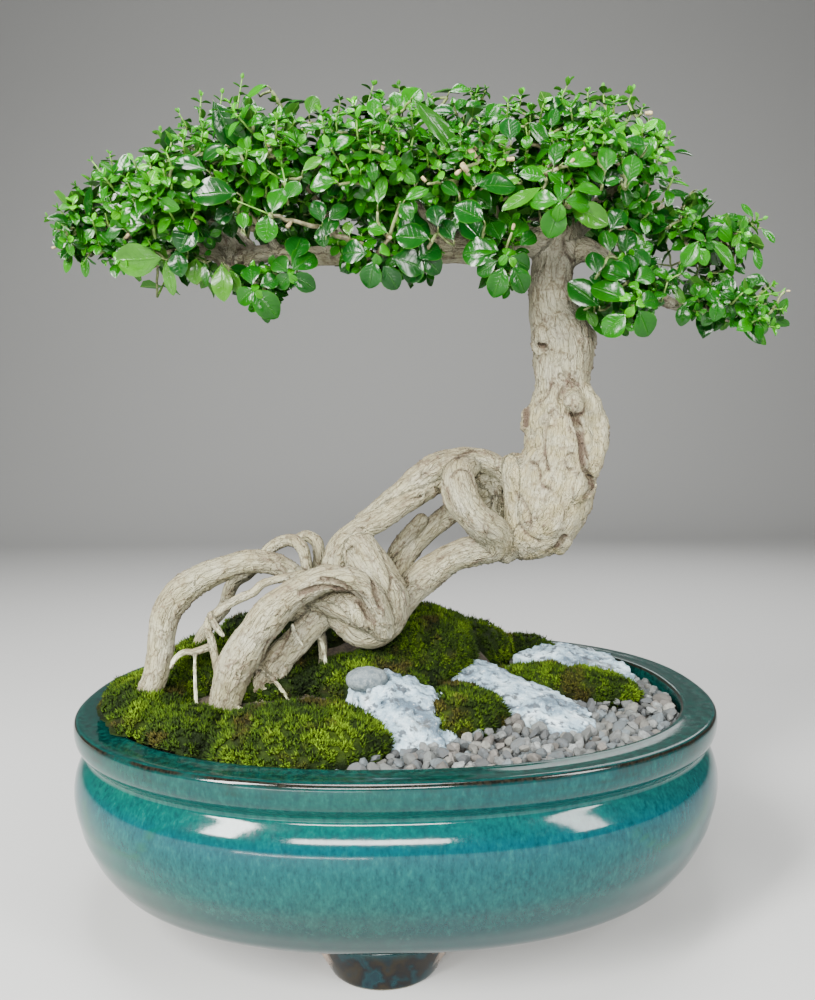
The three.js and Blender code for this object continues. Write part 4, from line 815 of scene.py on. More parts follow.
# a long glaze run on the left and on the right of the belly
colour = sh.mix(sh.math("MULTIPLY", sh.attr("run"), 0.8), colour, (0.006, 0.088, 0.060))
colour = sh.mix(sh.fit(z, 0.0175, 0.0135), colour, sh.ramp(sh.noise(pos, 85.0, 3, 0.6), [(0.30, (0.001, 0.008, 0.016)), (0.42, (0.003, 0.026, 0.034)), (0.50, (0.008, 0.005, 0.006)), (0.60, (0.030, 0.013, 0.006)), (0.72, (0.002, 0.010, 0.016))]))
colour = sh.mix(sh.math("MULTIPLY", sh.attr("clay"), sh.fit(sh.noise(pos, 120.0, 2, 0.5), 0.30, 0.42)), colour, (0.92, 0.42, 0.34))
colour = sh.mix(sh.fit(z, 0.0008, 0.0002), colour, (0.42, 0.22, 0.15))
relief = sh.math("ADD", sh.math("MULTIPLY", slow, 1.2), sh.math("MULTIPLY", mottle, 0.10))
pot_material = sh.finish(level=(0.32, 0.54, 0.53), Base_Color=colour, Roughness=sh.math("ADD", sh.fit(mottle, 0.3, 0.7, 0.06, 0.15), sh.math("MULTIPLY", sh.attr("clay"), 0.4)), IOR=1.40, Specular_IOR_Level=sh.fit(lipness, 0.2, 0.9, 0.46, 0.15), Normal=sh.bump(relief, 0.0009, 0.20))


def runs(p):
    """Edges of thick glaze runs on the two ends of the belly, as a mask from 0 to 1."""
    pix = project(p)
    out = np.zeros(len(p))
    for path in ([(84, 800), (88, 836), (110, 850), (134, 859), (143, 845), (150, 834), (158, 826)], [(632, 830), (645, 838), (657, 847), (675, 843), (690, 832), (703, 815), (708, 796)]):
        q = np.array(path, float)
        d = np.full(len(p), 99.0)
        for a, b in zip(q[:-1], q[1:]):
            t = np.clip(((pix - a) @ (b - a)) / ((b - a) @ (b - a)), 0, 1)
            d = np.minimum(d, np.linalg.norm(pix - a - t[:, None] * (b - a), axis=1))
        out = np.maximum(out, np.clip(1.3 - d / 2.6, 0, 1))
    return out * (p[:, 1] < 0)


pot_body = add_mesh("pot_glazed", pv, [tris, quads], [pot_material], points={"inset": inset_at, "lip": lip_at, "run": runs(pv), "clay": np.zeros(len(pv))})
pn = unit(fv[:, :2] - np.array([0, 0]))
clay = np.clip(np.abs(fv[:, 0] + 8) - 23.0, 0, 1.5) / 1.5 * (fv[:, 1] < -60) + np.clip(np.abs(fv[:, 0] - 8) - 23.0, 0, 1.5) / 1.5 * (fv[:, 1] > 60) + np.clip(np.abs(fv[:, 1]) - 25.5, 0, 3) / 3 * (np.abs(fv[:, 0]) > 90)
pot_feet = add_mesh("pot_feet", fv, ff, [pot_material], points={"inset": np.full(len(fv), 60.0), "lip": np.zeros(len(fv)), "run": np.zeros(len(fv)), "clay": clay})
for x in (-68, 68):
    bpy.ops.mesh.primitive_cylinder_add(vertices=40, radius=0.009, depth=0.03, location=row([x, 0, 18]))
    drill = bpy.context.object
    drill.name = f"drill_{'left' if x < 0 else 'right'}"
    cut = pot_body.modifiers.new("hole", "BOOLEAN")
    cut.operation, cut.object, cut.solver = "DIFFERENCE", drill, "EXACT"
bpy.context.view_layer.update()
dg = bpy.context.evaluated_depsgraph_get()
drilled = bpy.data.meshes.new_from_object(pot_body.evaluated_get(dg))
pot_body.modifiers.clear()
pot_body.data = drilled
for name in ("drill_left", "drill_right"):
    bpy.data.objects.remove(bpy.data.objects[name])
for o in (pot_body, pot_feet):
    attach(o, "root")
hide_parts("pot")


# ------------------------------------------------------------------ rocks
def cad_arrays(name):
    """A CAD node's vertices in millimetres in the pot's frame, and its triangles."""
    me = frame["nodes"][name].data
    v = np.zeros(len(me.vertices) * 3, np.float32)
    me.vertices.foreach_get("co", v)
    v = v.reshape(-1, 3).astype(float) * 1000
    v[:, 0] -= SHIFT
    me.calc_loop_triangles()
    t = np.zeros(len(me.loop_triangles) * 3, np.int32)
    me.loop_triangles.foreach_get("vertices", t)
    return v, t.reshape(-1, 3)


class RockField(Field):
    def __init__(self, verts, tris, h, far=5.0):
        super().__init__(verts.min(0) - 5, verts.max(0) + 5, h)
        self.far = far
        g = vdb.FloatGrid.createLevelSetFromPolygons(((verts - self.lo) / h).astype(np.float32), triangles=tris.astype(np.uint32), halfWidth=far / h)
        d = np.full(self.n, far / h, np.float32)
        g.copyToArray(d)
        self.d = d * h


def stone_surface(f, seed, rough, pit, inset):
    x, y, z = np.meshgrid(*[np.arange(f.n[k]) * f.h + f.lo[k] for k in range(3)], indexing="ij")
    p = np.stack([x.ravel(), y.ravel(), z.ravel()], 1)
    near = np.abs(f.d.ravel()) < 4.6
    q = p[near]
    warp = np.stack([value_noise(q * 0.09, seed + 1), value_noise(q * 0.09, seed + 2), value_noise(q * 0.09, seed + 3)], 1) * 4
    big = fbm((q + warp) * [0.055, 0.055, 0.075], seed, 3)
    ridge = 1 - np.abs(fbm((q + warp) * [0.11, 0.11, 0.14], seed + 5, 3))
    small = fbm(q * 0.33, seed + 9, 3)
    w, tag = worley(q * 0.21, seed + 4)
    holes = np.clip(1 - w / (0.16 + 0.30 * tag), 0, 1) * (tag > 0.45)
    d = f.d.ravel().copy()
    d[near] += (-1.0 * big - 1.5 * (ridge - 0.7) - 0.55 * small) * rough + pit * 2.6 * holes + inset
    g = vdb.FloatGrid(background=f.far)
    g.copyFromArray(np.clip(d.reshape(f.n), -f.far, f.far).astype(np.float32))
    v, t, qd = g.convertToPolygons(isovalue=0.0, adaptivity=0.0)
    return v.astype(float) * f.h + f.lo, qd.astype(np.int64)[:, ::-1]


sh = Shader("rock")
pos = sh.place()
veil = sh.noise(pos, 70.0, 5, 0.65)
crumb = sh.noise(pos, 420.0, 4, 0.7)
pock = sh.noise(pos, 210.0, 3, 0.6)
base = sh.ramp(veil, [(0.0, (0.03, 0.05, 0.07)), (0.38, (0.10, 0.15, 0.20)), (0.47, (0.28, 0.39, 0.47)), (0.57, (0.46, 0.59, 0.665)), (0.68, (0.70, 0.80, 0.85)), (1.0, (0.88, 0.94, 0.96))])
base = sh.mix(sh.fit(pock, 0.54, 0.62, 0, 0.90), base, (0.045, 0.055, 0.07))
base = sh.mix(sh.fit(crumb, 0.56, 0.68, 0, 0.75), base, (0.12, 0.13, 0.145))
base = sh.mix(sh.fit(crumb, 0.42, 0.30, 0, 0.6), base, (0.96, 0.97, 0.97))
base = sh.mix(sh.fit(sh.noise(pos, 45.0, 2, 0.5), 0.58, 0.72, 0, 0.35), base, (0.40, 0.38, 0.30))
# painted shade: the pits are painted dark
base = sh.mix(sh.attr("pit_shade"), base, (0.06, 0.065, 0.07))
base = sh.mix(sh.attr("pebble"), base, sh.mix(sh.fit(crumb, 0.4, 0.6), (0.11, 0.135, 0.15), (0.23, 0.26, 0.265)))
rock_material = sh.finish(level=(0.62, 0.65, 0.66), Base_Color=base, Roughness=0.88, Normal=sh.bump(sh.math("ADD", crumb, sh.math("MULTIPLY", pock, 0.8)), 0.0012, 0.8))

rock_trees = []
for k, name in enumerate(("rock_front", "rock_middle", "rock_back")):
    v, t = cad_arrays(name)
    f = RockField(v, t, 0.95)
    if k == 0:
        # the bed of the pebble that lies on the top left of the front rock
        win, q = f.ellipsoid([-14.5, -39, 119.5], [13, 11, 8.0])
        f.cut(win, q, 1.0)
    rv, rq = stone_surface(f, 100 + 40 * k, (1.35, 0.95, 0.95)[k], (1.2, 0.85, 0.8)[k], (-0.6, 0.3, 0.3)[k])
    top = vertex_normals(rv, rq)
    w, tag = worley(rv * 0.21, 104 + 40 * k)
    # painted shade over the same pits as the holes carved into the surface
    pit_shade_mask = np.clip(1 - w / (0.14 + 0.26 * tag), 0, 1) * (tag > 0.45)
    faces, extra = [rq], np.zeros(len(rv))
    if k == 0:
        # the smooth grey pebble grown on to the top left of the front rock
        g = Field([-34, -58, 100], [4, -22, 134], 0.8)
        win, q = g.ellipsoid([-15.8, -40, 116.0], [10.2, 8.2, 6.0])
        g.join(win, q, 0.5)
        bv, bq, _ = g.surface()
        bv += unit(bv - [-15.8, -40, 116.0]) * (0.9 * fbm(bv * 0.10, 7, 3))[:, None]
        faces.append(bq + len(rv))
        rv = np.concatenate([rv, bv])
        pit_shade_mask = np.concatenate([pit_shade_mask, np.zeros(len(bv))])
        extra = np.concatenate([extra, np.ones(len(bv))])
    o = add_mesh(name + "_stone", rv, [np.concatenate(faces)], [rock_material], points={"pit_shade": np.clip(pit_shade_mask * 1.2, 0, 1), "pebble": extra})
    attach(o, "root")
    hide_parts(name)
    thin_out(o, (20000, 17000, 10000)[k])
    rock_trees.append((BVHTree.FromPolygons([tuple(x) for x in rv], [tuple(int(i) for i in x) for x in np.concatenate(faces)]), rv[:, :2].min(0), rv[:, :2].max(0)))


def under_rock(p, lift=40.0):
    """True where a rock's surface lies over the point."""
    for tree, a, b in rock_trees:
        if a[0] <= p[0] <= b[0] and a[1] <= p[1] <= b[1]:
            if tree.ray_cast(Vector(p), Vector((0, 0, 1)), lift)[0] is not None:
                return True
    return False


# ------------------------------------------------------------------ moss
MOUNDS = [[[-42, 4, 84], [94, 88, 25]], [[-40, 40, 84], [76, 50, 39]], [[16, 28, 84], [44, 44, 43]]]
MOSS = {
    "moss_far_left": [[-126, -20, 97], [26, 55, 13.5], 6],
    "moss_left_slope": [[-101, 12, 107], [26, 33, 19], 10],
    "moss_front_left": [[-97, -62, 96], [22, 27, 13], 25],
    "moss_front": [[-48, -68, 96], [44, 34, 15], -4],
    "moss_under_roots": [[-66, -14, 107], [28, 24, 12], 0],
    "moss_centre": [[-17, -13, 107], [42, 26, 13], -6],
    "moss_back_hill": [[13, 20, 113.5], [32, 35, 26], 10],
    "moss_right": [[88, 2, 98], [42, 15, 12], -24],
    "moss_front_middle": [[28, -39, 97], [23, 25, 13], -26],
    "moss_back_left": [[-66, 36, 113], [44, 34, 21], 12],
    "moss_left_back": [[-114, 44, 96], [26, 36, 14], -20],
    "moss_back_tuft": [[80, 70, 97], [22, 16, 14], -14],
    "moss_hill_back": [[34, 56, 106], [36, 28, 19], -8],
    "moss_back": [[-44, 76, 103], [44, 28, 19], -2],
}


def inside_wall(x, y, inset):
    return (np.abs(x) / (HALF_A - inset)) ** POWER + (np.abs(y) / (HALF_B - inset)) ** POWER < 1


def soil_height(x, y):
    z = np.full(np.shape(x), 88.0)
    for (cx, cy, cz), (rx, ry, rz) in MOUNDS:
        q = 1 - ((x - cx) / rx) ** 2 - ((y - cy) / ry) ** 2
        z = np.where(q > 0, np.maximum(z, cz + rz * np.sqrt(np.maximum(q, 0))), z)
    return z


def cushion_frame(name):
    c, r, turn = MOSS[name]
    t = math.radians(turn)
    return np.array(c, float), np.array(r, float), np.array([[math.cos(t), -math.sin(t), 0], [math.sin(t), math.cos(t), 0], [0, 0, 1.0]])


def in_pot(p, inset):
    """Inside the pot's wall. Moss that stands above the lip leans out over its inner edge."""
    return inside_wall(p[:, 0], p[:, 1], inset) | (inside_wall(p[:, 0], p[:, 1], inset - 4.0) & (p[:, 2] > 101.4))


def inside_cushion(name, p):
    c, r, m = cushion_frame(name)
    q = ((p - c) @ m) / r
    return (q**2).sum(1)


def cushion_lumps(p, seed):
    return 1.5 * value_noise(p * [0.075, 0.075, 0.05], seed) + 1.2 * value_noise(p * 0.16, seed + 3) + 0.85 * value_noise(p * 0.33, seed + 5)


def on_cushion(name, u):
    """Points of the lumpy cushion in the directions u, and their outward normals."""
    c, r, m = cushion_frame(name)
    p = (u * r) @ m.T + c
    n = unit((u / r) @ m.T)
    return p + n * cushion_lumps(p, 300)[:, None], n


def ico(level):
    import bmesh

    bm = bmesh.new()
    bmesh.ops.create_icosphere(bm, subdivisions=level, radius=1.0)
    bm.verts.ensure_lookup_table()
    v = np.array([x.co for x in bm.verts])
    f = np.array([[x.index for x in q.verts] for q in bm.faces])
    bm.free()
    return v, f


sh = Shader("moss")
tint = sh.attr("moss_colour", "Color")
pos = sh.place()
moss_material = sh.finish(level=(0.64, 0.70, 0.32), Base_Color=sh.mix(sh.fit(sh.noise(pos, 800.0, 2, 0.6), 0.40, 0.62), sh.mix(0.35, tint, (0.01, 0.02, 0.005)), tint), Roughness=0.7, Specular_IOR_Level=0.12, Normal=sh.bump(sh.noise(pos, 1300.0, 3, 0.6), 0.0015, 0.8))
tr = sh.n("BsdfTranslucent", {"Color": sh.mix(1.0, tint, (0.7, 0.8, 0.4), "MULTIPLY")})
mx = sh.n("MixShader", {0: 0.13, 1: sh.bsdf.outputs[0], 2: tr.outputs[0]})
sh.t.links.new(mx.outputs[0], sh.out.inputs[0])

names = list(MOSS)
balls = ico(4), ico(5)


def moss_tone(p, young):
    """Colour of the moss at p: bright, olive, dark and brown patches. young is 0 at the root and 1 at a tip; the roots
    come out dark and the tips bright, partly the moss's own colour, partly painted shade and painted light.
    """
    a = fbm(p * 0.045, 400, 3)
    b = fbm(p * 0.11, 420, 3)
    c = fbm(p * 0.30, 440, 2)
    # cushions differ in tone: the big front one, the right strip and the far left are brighter, partly painted light,
    # and the ones behind and under the roots darker, partly painted shade
    bright = np.exp(-(((p[:, 0] + 30) / 34) ** 2 + ((p[:, 1] + 74) / 26) ** 2)) + 0.8 * np.exp(-(((p[:, 0] - 100) / 26) ** 2 + ((p[:, 1] + 2) / 22) ** 2)) + 1.1 * np.exp(-(((p[:, 0] + 125) / 24) ** 2 + ((p[:, 1] + 30) / 40) ** 2))
    dark = np.exp(-(((p[:, 0] - 24) / 24) ** 2 + ((p[:, 1] + 46) / 16) ** 2)) + 0.7 * np.exp(-(((p[:, 0] + 66) / 24) ** 2 + ((p[:, 1] + 12) / 18) ** 2)) + 0.6 * np.exp(-(((p[:, 0] + 100) / 14) ** 2 + ((p[:, 1] + 52) / 20) ** 2))
    tufted = value_noise(p * 0.33, 305)
    w = np.clip(0.47 + 0.40 * a + 0.28 * b + 0.20 * c + 0.32 * tufted + 0.14 * bright - 0.26 * dark, 0, 1)[:, None]
    lo, mid, hi = np.array([0.010, 0.021, 0.002]), np.array([0.048, 0.095, 0.0035]), np.array([0.170, 0.275, 0.008])
    col = np.where(w < 0.5, lo + (mid - lo) * w * 2, mid + (hi - mid) * (w * 2 - 1))
    brown = np.clip(1.7 * fbm(p * 0.075, 460, 3) - 0.55, 0, 0.8)[:, None]
    col = col * (1 - brown) + np.array([0.085, 0.055, 0.020]) * brown
    return col * (0.05 + 1.20 * np.asarray(young)[:, None])


MOSS_DENSITY = 0.445  # tufts on a square millimetre
BEHIND = ("moss_back_left", "moss_left_back", "moss_back_tuft", "moss_hill_back", "moss_back")
for k, name in enumerate(names):
    c, r, m = cushion_frame(name)
    g = Gather()
    # the mat under the tufts, painted dark: partly painted shade under them
    iv, itri = balls[name in ("moss_front", "moss_far_left")]
    p, n = on_cushion(name, iv)
    keep = (p[:, 2] > soil_height(p[:, 0], p[:, 1]) - 2.5) & in_pot(p, 14.5)
    for other in names:
        if other != name:
            keep &= inside_cushion(other, p) > 0.80
    cx, cy = p[:, 0], p[:, 1]
    f = itri[keep[itri].any(1)]
    # cushions that would cross the pot's wall are pressed back to it
    q = (np.abs(cx) / (HALF_A - 16.3)) ** POWER + (np.abs(cy) / (HALF_B - 16.3)) ** POWER
    k2 = np.where((q > 1) & (p[:, 2] < 101.2), q ** (-1 / POWER), 1.0)
    p[:, 0] *= k2
    p[:, 1] *= k2
    used = np.unique(f)
    remap = np.full(len(p), -1)
    remap[used] = np.arange(len(used))
    col = moss_tone(p[used], np.full(len(used), 0.16))
    g.add(p[used] - n[used] * 0.5, [remap[f]], pt={"moss_colour": np.concatenate([col, np.ones((len(used), 1))], 1)})
    # tufts: short spikes that fan out from one root
    area = 4 * math.pi * ((r[0] * r[1]) ** 1.6 / 3 + (r[0] * r[2]) ** 1.6 / 3 + (r[1] * r[2]) ** 1.6 / 3) ** (1 / 1.6)
    density = MOSS_DENSITY * (0.55 if name in BEHIND else 1.0)
    u = unit(rng.normal(size=(int(area * density), 3)))
    weight = np.linalg.norm(u / r, axis=1) * r.prod() / np.array([r[0] * r[1], r[0] * r[2], r[1] * r[2]]).max()
    u = u[rng.random(len(u)) < weight]
    p, n = on_cushion(name, u)
    ok = (p[:, 2] > soil_height(p[:, 0], p[:, 1]) - 0.5) & in_pot(p, 16.2) & (n[:, 2] > -0.35)
    for other in names:
        if other != name:
            ok &= inside_cushion(other, p) > 1.0
    ok &= wood_field.at(p) > 0.4
    p, n = p[ok], n[ok]
    ok = np.array([not under_rock(x) for x in p + n * 0.3], bool) if len(p) else np.zeros(0, bool)
    p, n = p[ok], n[ok]
    spikes = 5
    big = 0.75 + 0.6 * rng.random(len(p)) + 0.35 * value_noise(p * 0.12, 501)
    for s in range(spikes):
        lean = rng.normal(size=p.shape)
        lean = unit(lean - (lean * n).sum(1)[:, None] * n)
        tilt = (0.35 + 0.65 * rng.random(len(p))) if s else 0.12 * rng.random(len(p))
        d = unit(n + lean * tilt[:, None] * 1.25 + np.array([0, 0, 0.30]))
        length = (1.5 if s else 2.1) * big * (0.75 + 0.5 * rng.random(len(p)))
        wide = 0.50 * (0.8 + 0.5 * rng.random(len(p)))
        e1 = unit(np.cross(d, rng.normal(size=p.shape)))
        e2 = np.cross(d, e1)
        root = p - n * 0.7 + lean * 0.45
        verts = np.stack([root + e1 * wide[:, None], root + (-0.5 * e1 + 0.87 * e2) * wide[:, None], root + (-0.5 * e1 - 0.87 * e2) * wide[:, None], root + d * (length + 0.9)[:, None]], 1)
        base = np.arange(len(p))[:, None] * 4
        tri = np.concatenate([base + [0, 1, 3], base + [1, 2, 3], base + [2, 0, 3], base + [0, 2, 1]], 0)
        # the roots of the spikes are painted dark, partly painted shade between the tufts, and the tips bright, partly
        # painted light
        c0 = moss_tone(p, np.full(len(p), 0.10)) * (0.55 + 0.4 * rng.random((len(p), 1)))
        c1 = moss_tone(p, 0.62 + 1.7 * rng.random(len(p)) ** 1.8)
        col = np.stack([c0, c0, c0, c1], 1).reshape(-1, 3)
        g.add(verts.reshape(-1, 3), [tri], pt={"moss_colour": np.concatenate([col, np.ones((len(col), 1))], 1)})
    v, f, pt, _ = g.parts()
    o = add_mesh(name + "_tufts", v, f, [moss_material], smooth=True, points=pt)
    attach(o, "root")
    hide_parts(name)

# ------------------------------------------------------------------ gravel
BED = np.array([[-18, -60], [-30, -104], [0, -118], [80, -112], [150, -70], [160, 0], [150, 70], [90, 112], [40, 110], [38, 60], [40, 20], [20, -10]], float)


def in_polygon(poly, p):
    x, y = p[:, 0], p[:, 1]
    inside = np.zeros(len(p), bool)
    for (x0, y0), (x1, y1) in zip(poly, np.roll(poly, -1, 0)):
        cross = (y0 > y) != (y1 > y)
        inside ^= cross & (x < (x1 - x0) * (y - y0) / np.where(y1 == y0, 1e-9, y1 - y0) + x0)
    return inside


def moss_height(p):
    z = np.full(len(p), -99.0)
    for name in names:
        c, r, m = cushion_frame(name)
        q = ((np.concatenate([p, np.full((len(p), 1), c[2])], 1) - c) @ m) / r
        s = 1 - (q[:, :2] ** 2).sum(1)
        z = np.where(s > 0, np.maximum(z, c[2] + r[2] * np.sqrt(np.maximum(s, 0))), z)
    return z


def scatter(lo, hi, gap, tries):
    """Points on a plane at least gap apart."""
    cell = gap / math.sqrt(2)
    grid, out = {}, []
    for p in rng.uniform(lo, hi, (tries, 2)):
        i, j = int(p[0] // cell), int(p[1] // cell)
        if all(np.hypot(*(p - q)) >= gap for a in range(i - 2, i + 3) for b in range(j - 2, j + 3) if (q := grid.get((a, b))) is not None):
            grid[i, j] = p
            out.append(p)
    return np.array(out)


sh = Shader("gravel")
tint = sh.attr("stone_colour", "Color")
pos = sh.place()
gn = sh.noise(pos, 700.0, 4, 0.65)
base = sh.mix(sh.fit(gn, 0.40, 0.62), sh.mix(0.5, tint, (0.10, 0.085, 0.075)), tint)
base = sh.mix(sh.fit(sh.noise(pos, 1500.0, 2, 0.6), 0.62, 0.74, 0, 0.6), base, (0.08, 0.07, 0.065))
gravel_material = sh.finish(level=(0.47, 0.51, 0.52), Base_Color=base, Roughness=0.85, Normal=sh.bump(gn, 0.0006, 0.7))

g = Gather()
# a coarse grit layer that closes the gaps between the stones
step = 3.0
gx, gy = np.meshgrid(np.arange(-33, 153, step), np.arange(-111, 113, step), indexing="ij")
gp = np.stack([gx.ravel(), gy.ravel()], 1)
ok = in_polygon(BED, gp) & inside_wall(gp[:, 0], gp[:, 1], 17.5)
gz = 91.2 + 1.2 * value_noise(np.concatenate([gp * 0.3, np.zeros((len(gp), 1))], 1), 601)
nx, ny = gx.shape
idx = np.arange(nx * ny).reshape(nx, ny)
cell = np.stack([idx[:-1, :-1], idx[1:, :-1], idx[1:, 1:], idx[:-1, 1:]], -1).reshape(-1, 4)
cell = cell[ok[cell].all(1)]
used = np.unique(cell)
remap = np.full(nx * ny, -1)
remap[used] = np.arange(len(used))
g.add(np.concatenate([gp[used], gz[used, None]], 1), [remap[cell]], pt={"stone_colour": np.tile([0.10, 0.085, 0.07, 1.0], (len(used), 1))})
pebble_v, pebble_f = ico(2)
PALETTE = np.array([[0.21, 0.20, 0.185], [0.27, 0.25, 0.235], [0.14, 0.14, 0.14], [0.25, 0.20, 0.17], [0.36, 0.34, 0.32], [0.11, 0.11, 0.115], [0.19, 0.205, 0.215], [0.30, 0.26, 0.22]])
for layer, (gap, tries, base_z) in enumerate(((4.0, 9000, 93.4), (4.15, 9000, 95.7))):
    spots = scatter([-32, -112], [152, 112], gap * (1), tries)
    spots = spots[in_polygon(BED, spots) & inside_wall(spots[:, 0], spots[:, 1], 19.2)]
    spots = spots[moss_height(spots) < 96]
    for x, y in spots:
        z0 = base_z + rng.normal() * 0.7
        if under_rock((x, y, z0 - 3)) or wood_field.at(np.array([x, y, z0])) < 0.5:
            continue
        n3 = unit(rng.normal(size=(8, 3)))
        off = rng.uniform(0.40, 0.74, 8)
        v = pebble_v.copy()
        for a, b in zip(n3, off):
            over = v @ a - b
            v -= np.where(over > 0, over, 0)[:, None] * a
        s = 3.2 * math.exp(rng.normal() * 0.20)
        v *= np.array([1.20, 0.92, 0.72]) * s * rng.uniform(0.80, 1.18, 3)
        q = Matrix.Rotation(rng.uniform(0, 2 * math.pi), 3, "Z") @ Matrix.Rotation(rng.normal() * 0.6, 3, "X") @ Matrix.Rotation(rng.normal() * 0.6, 3, "Y")
        v = v @ np.array(q).T + [x, y, z0]
        col = PALETTE[rng.integers(len(PALETTE))] * [0.82, 0.87, 0.90] * rng.uniform(0.58, 1.36)
        g.add(v, [pebble_f], pt={"stone_colour": np.array([*col, 1.0])})
v, f, pt, _ = g.parts()
gravel = add_mesh("gravel_stones", v, f, [gravel_material], smooth=False, points=pt)
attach(gravel, "root")
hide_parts("gravel_bed")

# ------------------------------------------------------------------ soil and drain screens keep the CAD shape, which moss and gravel hide
sh = Shader("soil")
pos = sh.place()
clod = sh.noise(pos, 260.0, 5, 0.7)
soil_material = sh.finish(level=(0.62, 0.66, 0.60), Base_Color=sh.ramp(clod, [(0.3, (0.018, 0.012, 0.008)), (0.5, (0.060, 0.040, 0.026)), (0.7, (0.16, 0.11, 0.07))]), Roughness=0.95, Normal=sh.bump(clod, 0.004, 1.0))
sh = Shader("screen")
pos = sh.place()
screen_material = sh.finish(Base_Color=sh.ramp(sh.noise(pos, 300.0, 3, 0.6), [(0.3, (0.015, 0.015, 0.016)), (0.7, (0.04, 0.04, 0.042))]), Roughness=sh.fit(sh.noise(pos, 900.0, 2, 0.5), 0.3, 0.7, 0.45, 0.7))
for name, m in (("soil", soil_material), ("drain_screen_left", screen_material), ("drain_screen_right", screen_material)):
    o = frame["nodes"][name]
    o.data.materials.clear()
    o.data.materials.append(m)


# ------------------------------------------------------------------ foliage
PADS = {
    "foliage_left_tip": [[-148, -6, 335], [33, 36, 25]],
    "foliage_left_front": [[-105, -29, 349], [35, 39, 28]],
    "foliage_left_back": [[-102, 34, 350], [38, 40, 28]],
    "foliage_midleft_front": [[-60, -31, 364], [33, 41, 30]],
    "foliage_midleft_back": [[-52, 38, 361], [38, 44, 31]],
    "foliage_middle_front": [[-12, -33, 363], [31, 41, 30]],
    "foliage_middle_back": [[5, 40, 364], [38, 44, 33]],
    "foliage_midright_front": [[35, -33, 364], [30, 41, 30]],
    "foliage_midright_back": [[58, 40, 365], [36, 44, 33]],
    "foliage_crown_front": [[82, -31, 364], [30, 41, 30]],
    "foliage_crown_back": [[110, 34, 361], [33, 40, 32]],
    "foliage_crown_right": [[121, -18, 357], [26, 37, 29]],
    "foliage_left_under": [[-120, -12, 317], [34, 29, 17]],
    "foliage_hanging_left": [[-64, -17, 306], [20, 20, 17]],
    "foliage_hanging_middle": [[-5, -26, 319], [29, 22, 19]],
    "foliage_hanging_trunk": [[53, -23, 321], [20, 20, 23]],
    "foliage_right_hanging": [[117, -23, 303], [29, 24, 25]],
    "foliage_right_middle": [[164, 4, 335], [39, 33, 21.5]],
    "foliage_right_low": [[169, -14, 294], [37, 24, 18]],
}
# outline of the crown in the photograph's frame, and the windows in it through which the backdrop shows
OUTLINE = np.array([
    (40, 217), (52, 203), (62, 186), (75, 168), (98, 152), (112, 148), (122, 158), (140, 150), (158, 130), (168, 110), (180, 110), (190, 94), (203, 90), (214, 100), (222, 91), (232, 70),
    (246, 70), (254, 90), (266, 96), (280, 101), (303, 98), (318, 96), (332, 93), (345, 96), (354, 94), (367, 80), (380, 80), (392, 88), (402, 86), (420, 86), (436, 92), (462, 86), (466, 78), (478, 74),
    (490, 82), (499, 92), (508, 88), (516, 82), (528, 86), (545, 88), (560, 84), (573, 75), (584, 82), (596, 88), (610, 84), (626, 86), (633, 84), (644, 96), (654, 113), (665, 125), (676, 140),
    (694, 150), (694, 156), (678, 156), (690, 176), (698, 190), (706, 204), (716, 208), (732, 206), (744, 206), (756, 208), (768, 222), (777, 240), (768, 244), (764, 258), (752, 266), (746, 276), (764, 272), (778, 276), (790, 292),
    (792, 309), (790, 330), (784, 341), (766, 345), (748, 334), (735, 324), (715, 318), (690, 326), (678, 318), (668, 306), (657, 316), (657, 333), (638, 334), (612, 338), (596, 330), (583, 326), (570, 300), (569, 278), (580, 268),
    (586, 256), (572, 244), (560, 240), (548, 236), (530, 244), (528, 262), (530, 286), (514, 292), (500, 295), (488, 284), (482, 270), (464, 260), (444, 262), (438, 276), (420, 286), (392, 288), (375, 288), (358, 276), (342, 268), (330, 256), (312, 262), (308, 286), (296, 292),
    (282, 288), (278, 306), (266, 320), (252, 314), (238, 300), (234, 290), (226, 300), (214, 290), (206, 276), (190, 284), (180, 278), (168, 290), (160, 276), (146, 272), (134, 275), (114, 272), (96, 262), (84, 275), (72, 272), (60, 262), (50, 250), (52, 236)], float)
WINDOWS = [np.array(w, float) for w in (
    [(644, 168), (656, 162), (668, 176), (668, 192), (654, 200), (646, 190)],
    [(570, 262), (576, 256), (588, 258), (592, 268), (586, 280), (574, 280)],
    [(655, 250), (664, 238), (690, 246), (700, 258), (692, 272), (672, 266), (662, 268)],
    [(664, 300), (672, 290), (680, 296), (676, 312), (666, 312)],
    [(700, 262), (716, 258), (728, 262), (722, 272), (706, 272)],
    [(242, 232), (262, 234), (276, 240), (270, 246), (248, 244)])]
BARE = [np.array(w, float) for w in (  # wood that shows in front of the leaves
    [(202, 208), (216, 206), (228, 230), (226, 246), (246, 246), (284, 246), (284, 262), (244, 272), (222, 270), (214, 262), (212, 232)],
    [(310, 240), (342, 240), (346, 264), (312, 264)],
    [(434, 232), (470, 236), (474, 266), (452, 256), (434, 250)],
    [(540, 226), (600, 222), (604, 250), (586, 300), (540, 300), (530, 262)],
    [(594, 190), (606, 188), (640, 198), (634, 206), (610, 210)])]


def edge_distance(poly, p):
    """Distance in pixels from the points p to a polygon's edge, positive inside."""
    d = np.full(len(p), 1e9)
    for a, b in zip(poly, np.roll(poly, -1, 0)):
        t = np.clip(((p - a) @ (b - a)) / max((b - a) @ (b - a), 1e-9), 0, 1)
        d = np.minimum(d, np.linalg.norm(p - a - t[:, None] * (b - a), axis=1))
    return np.where(in_polygon(poly, p), d, -d)


def free_of_windows(p, margin):
    ok = np.ones(len(p), bool)
    for w in WINDOWS:
        ok &= edge_distance(w, p) < -margin
    return ok


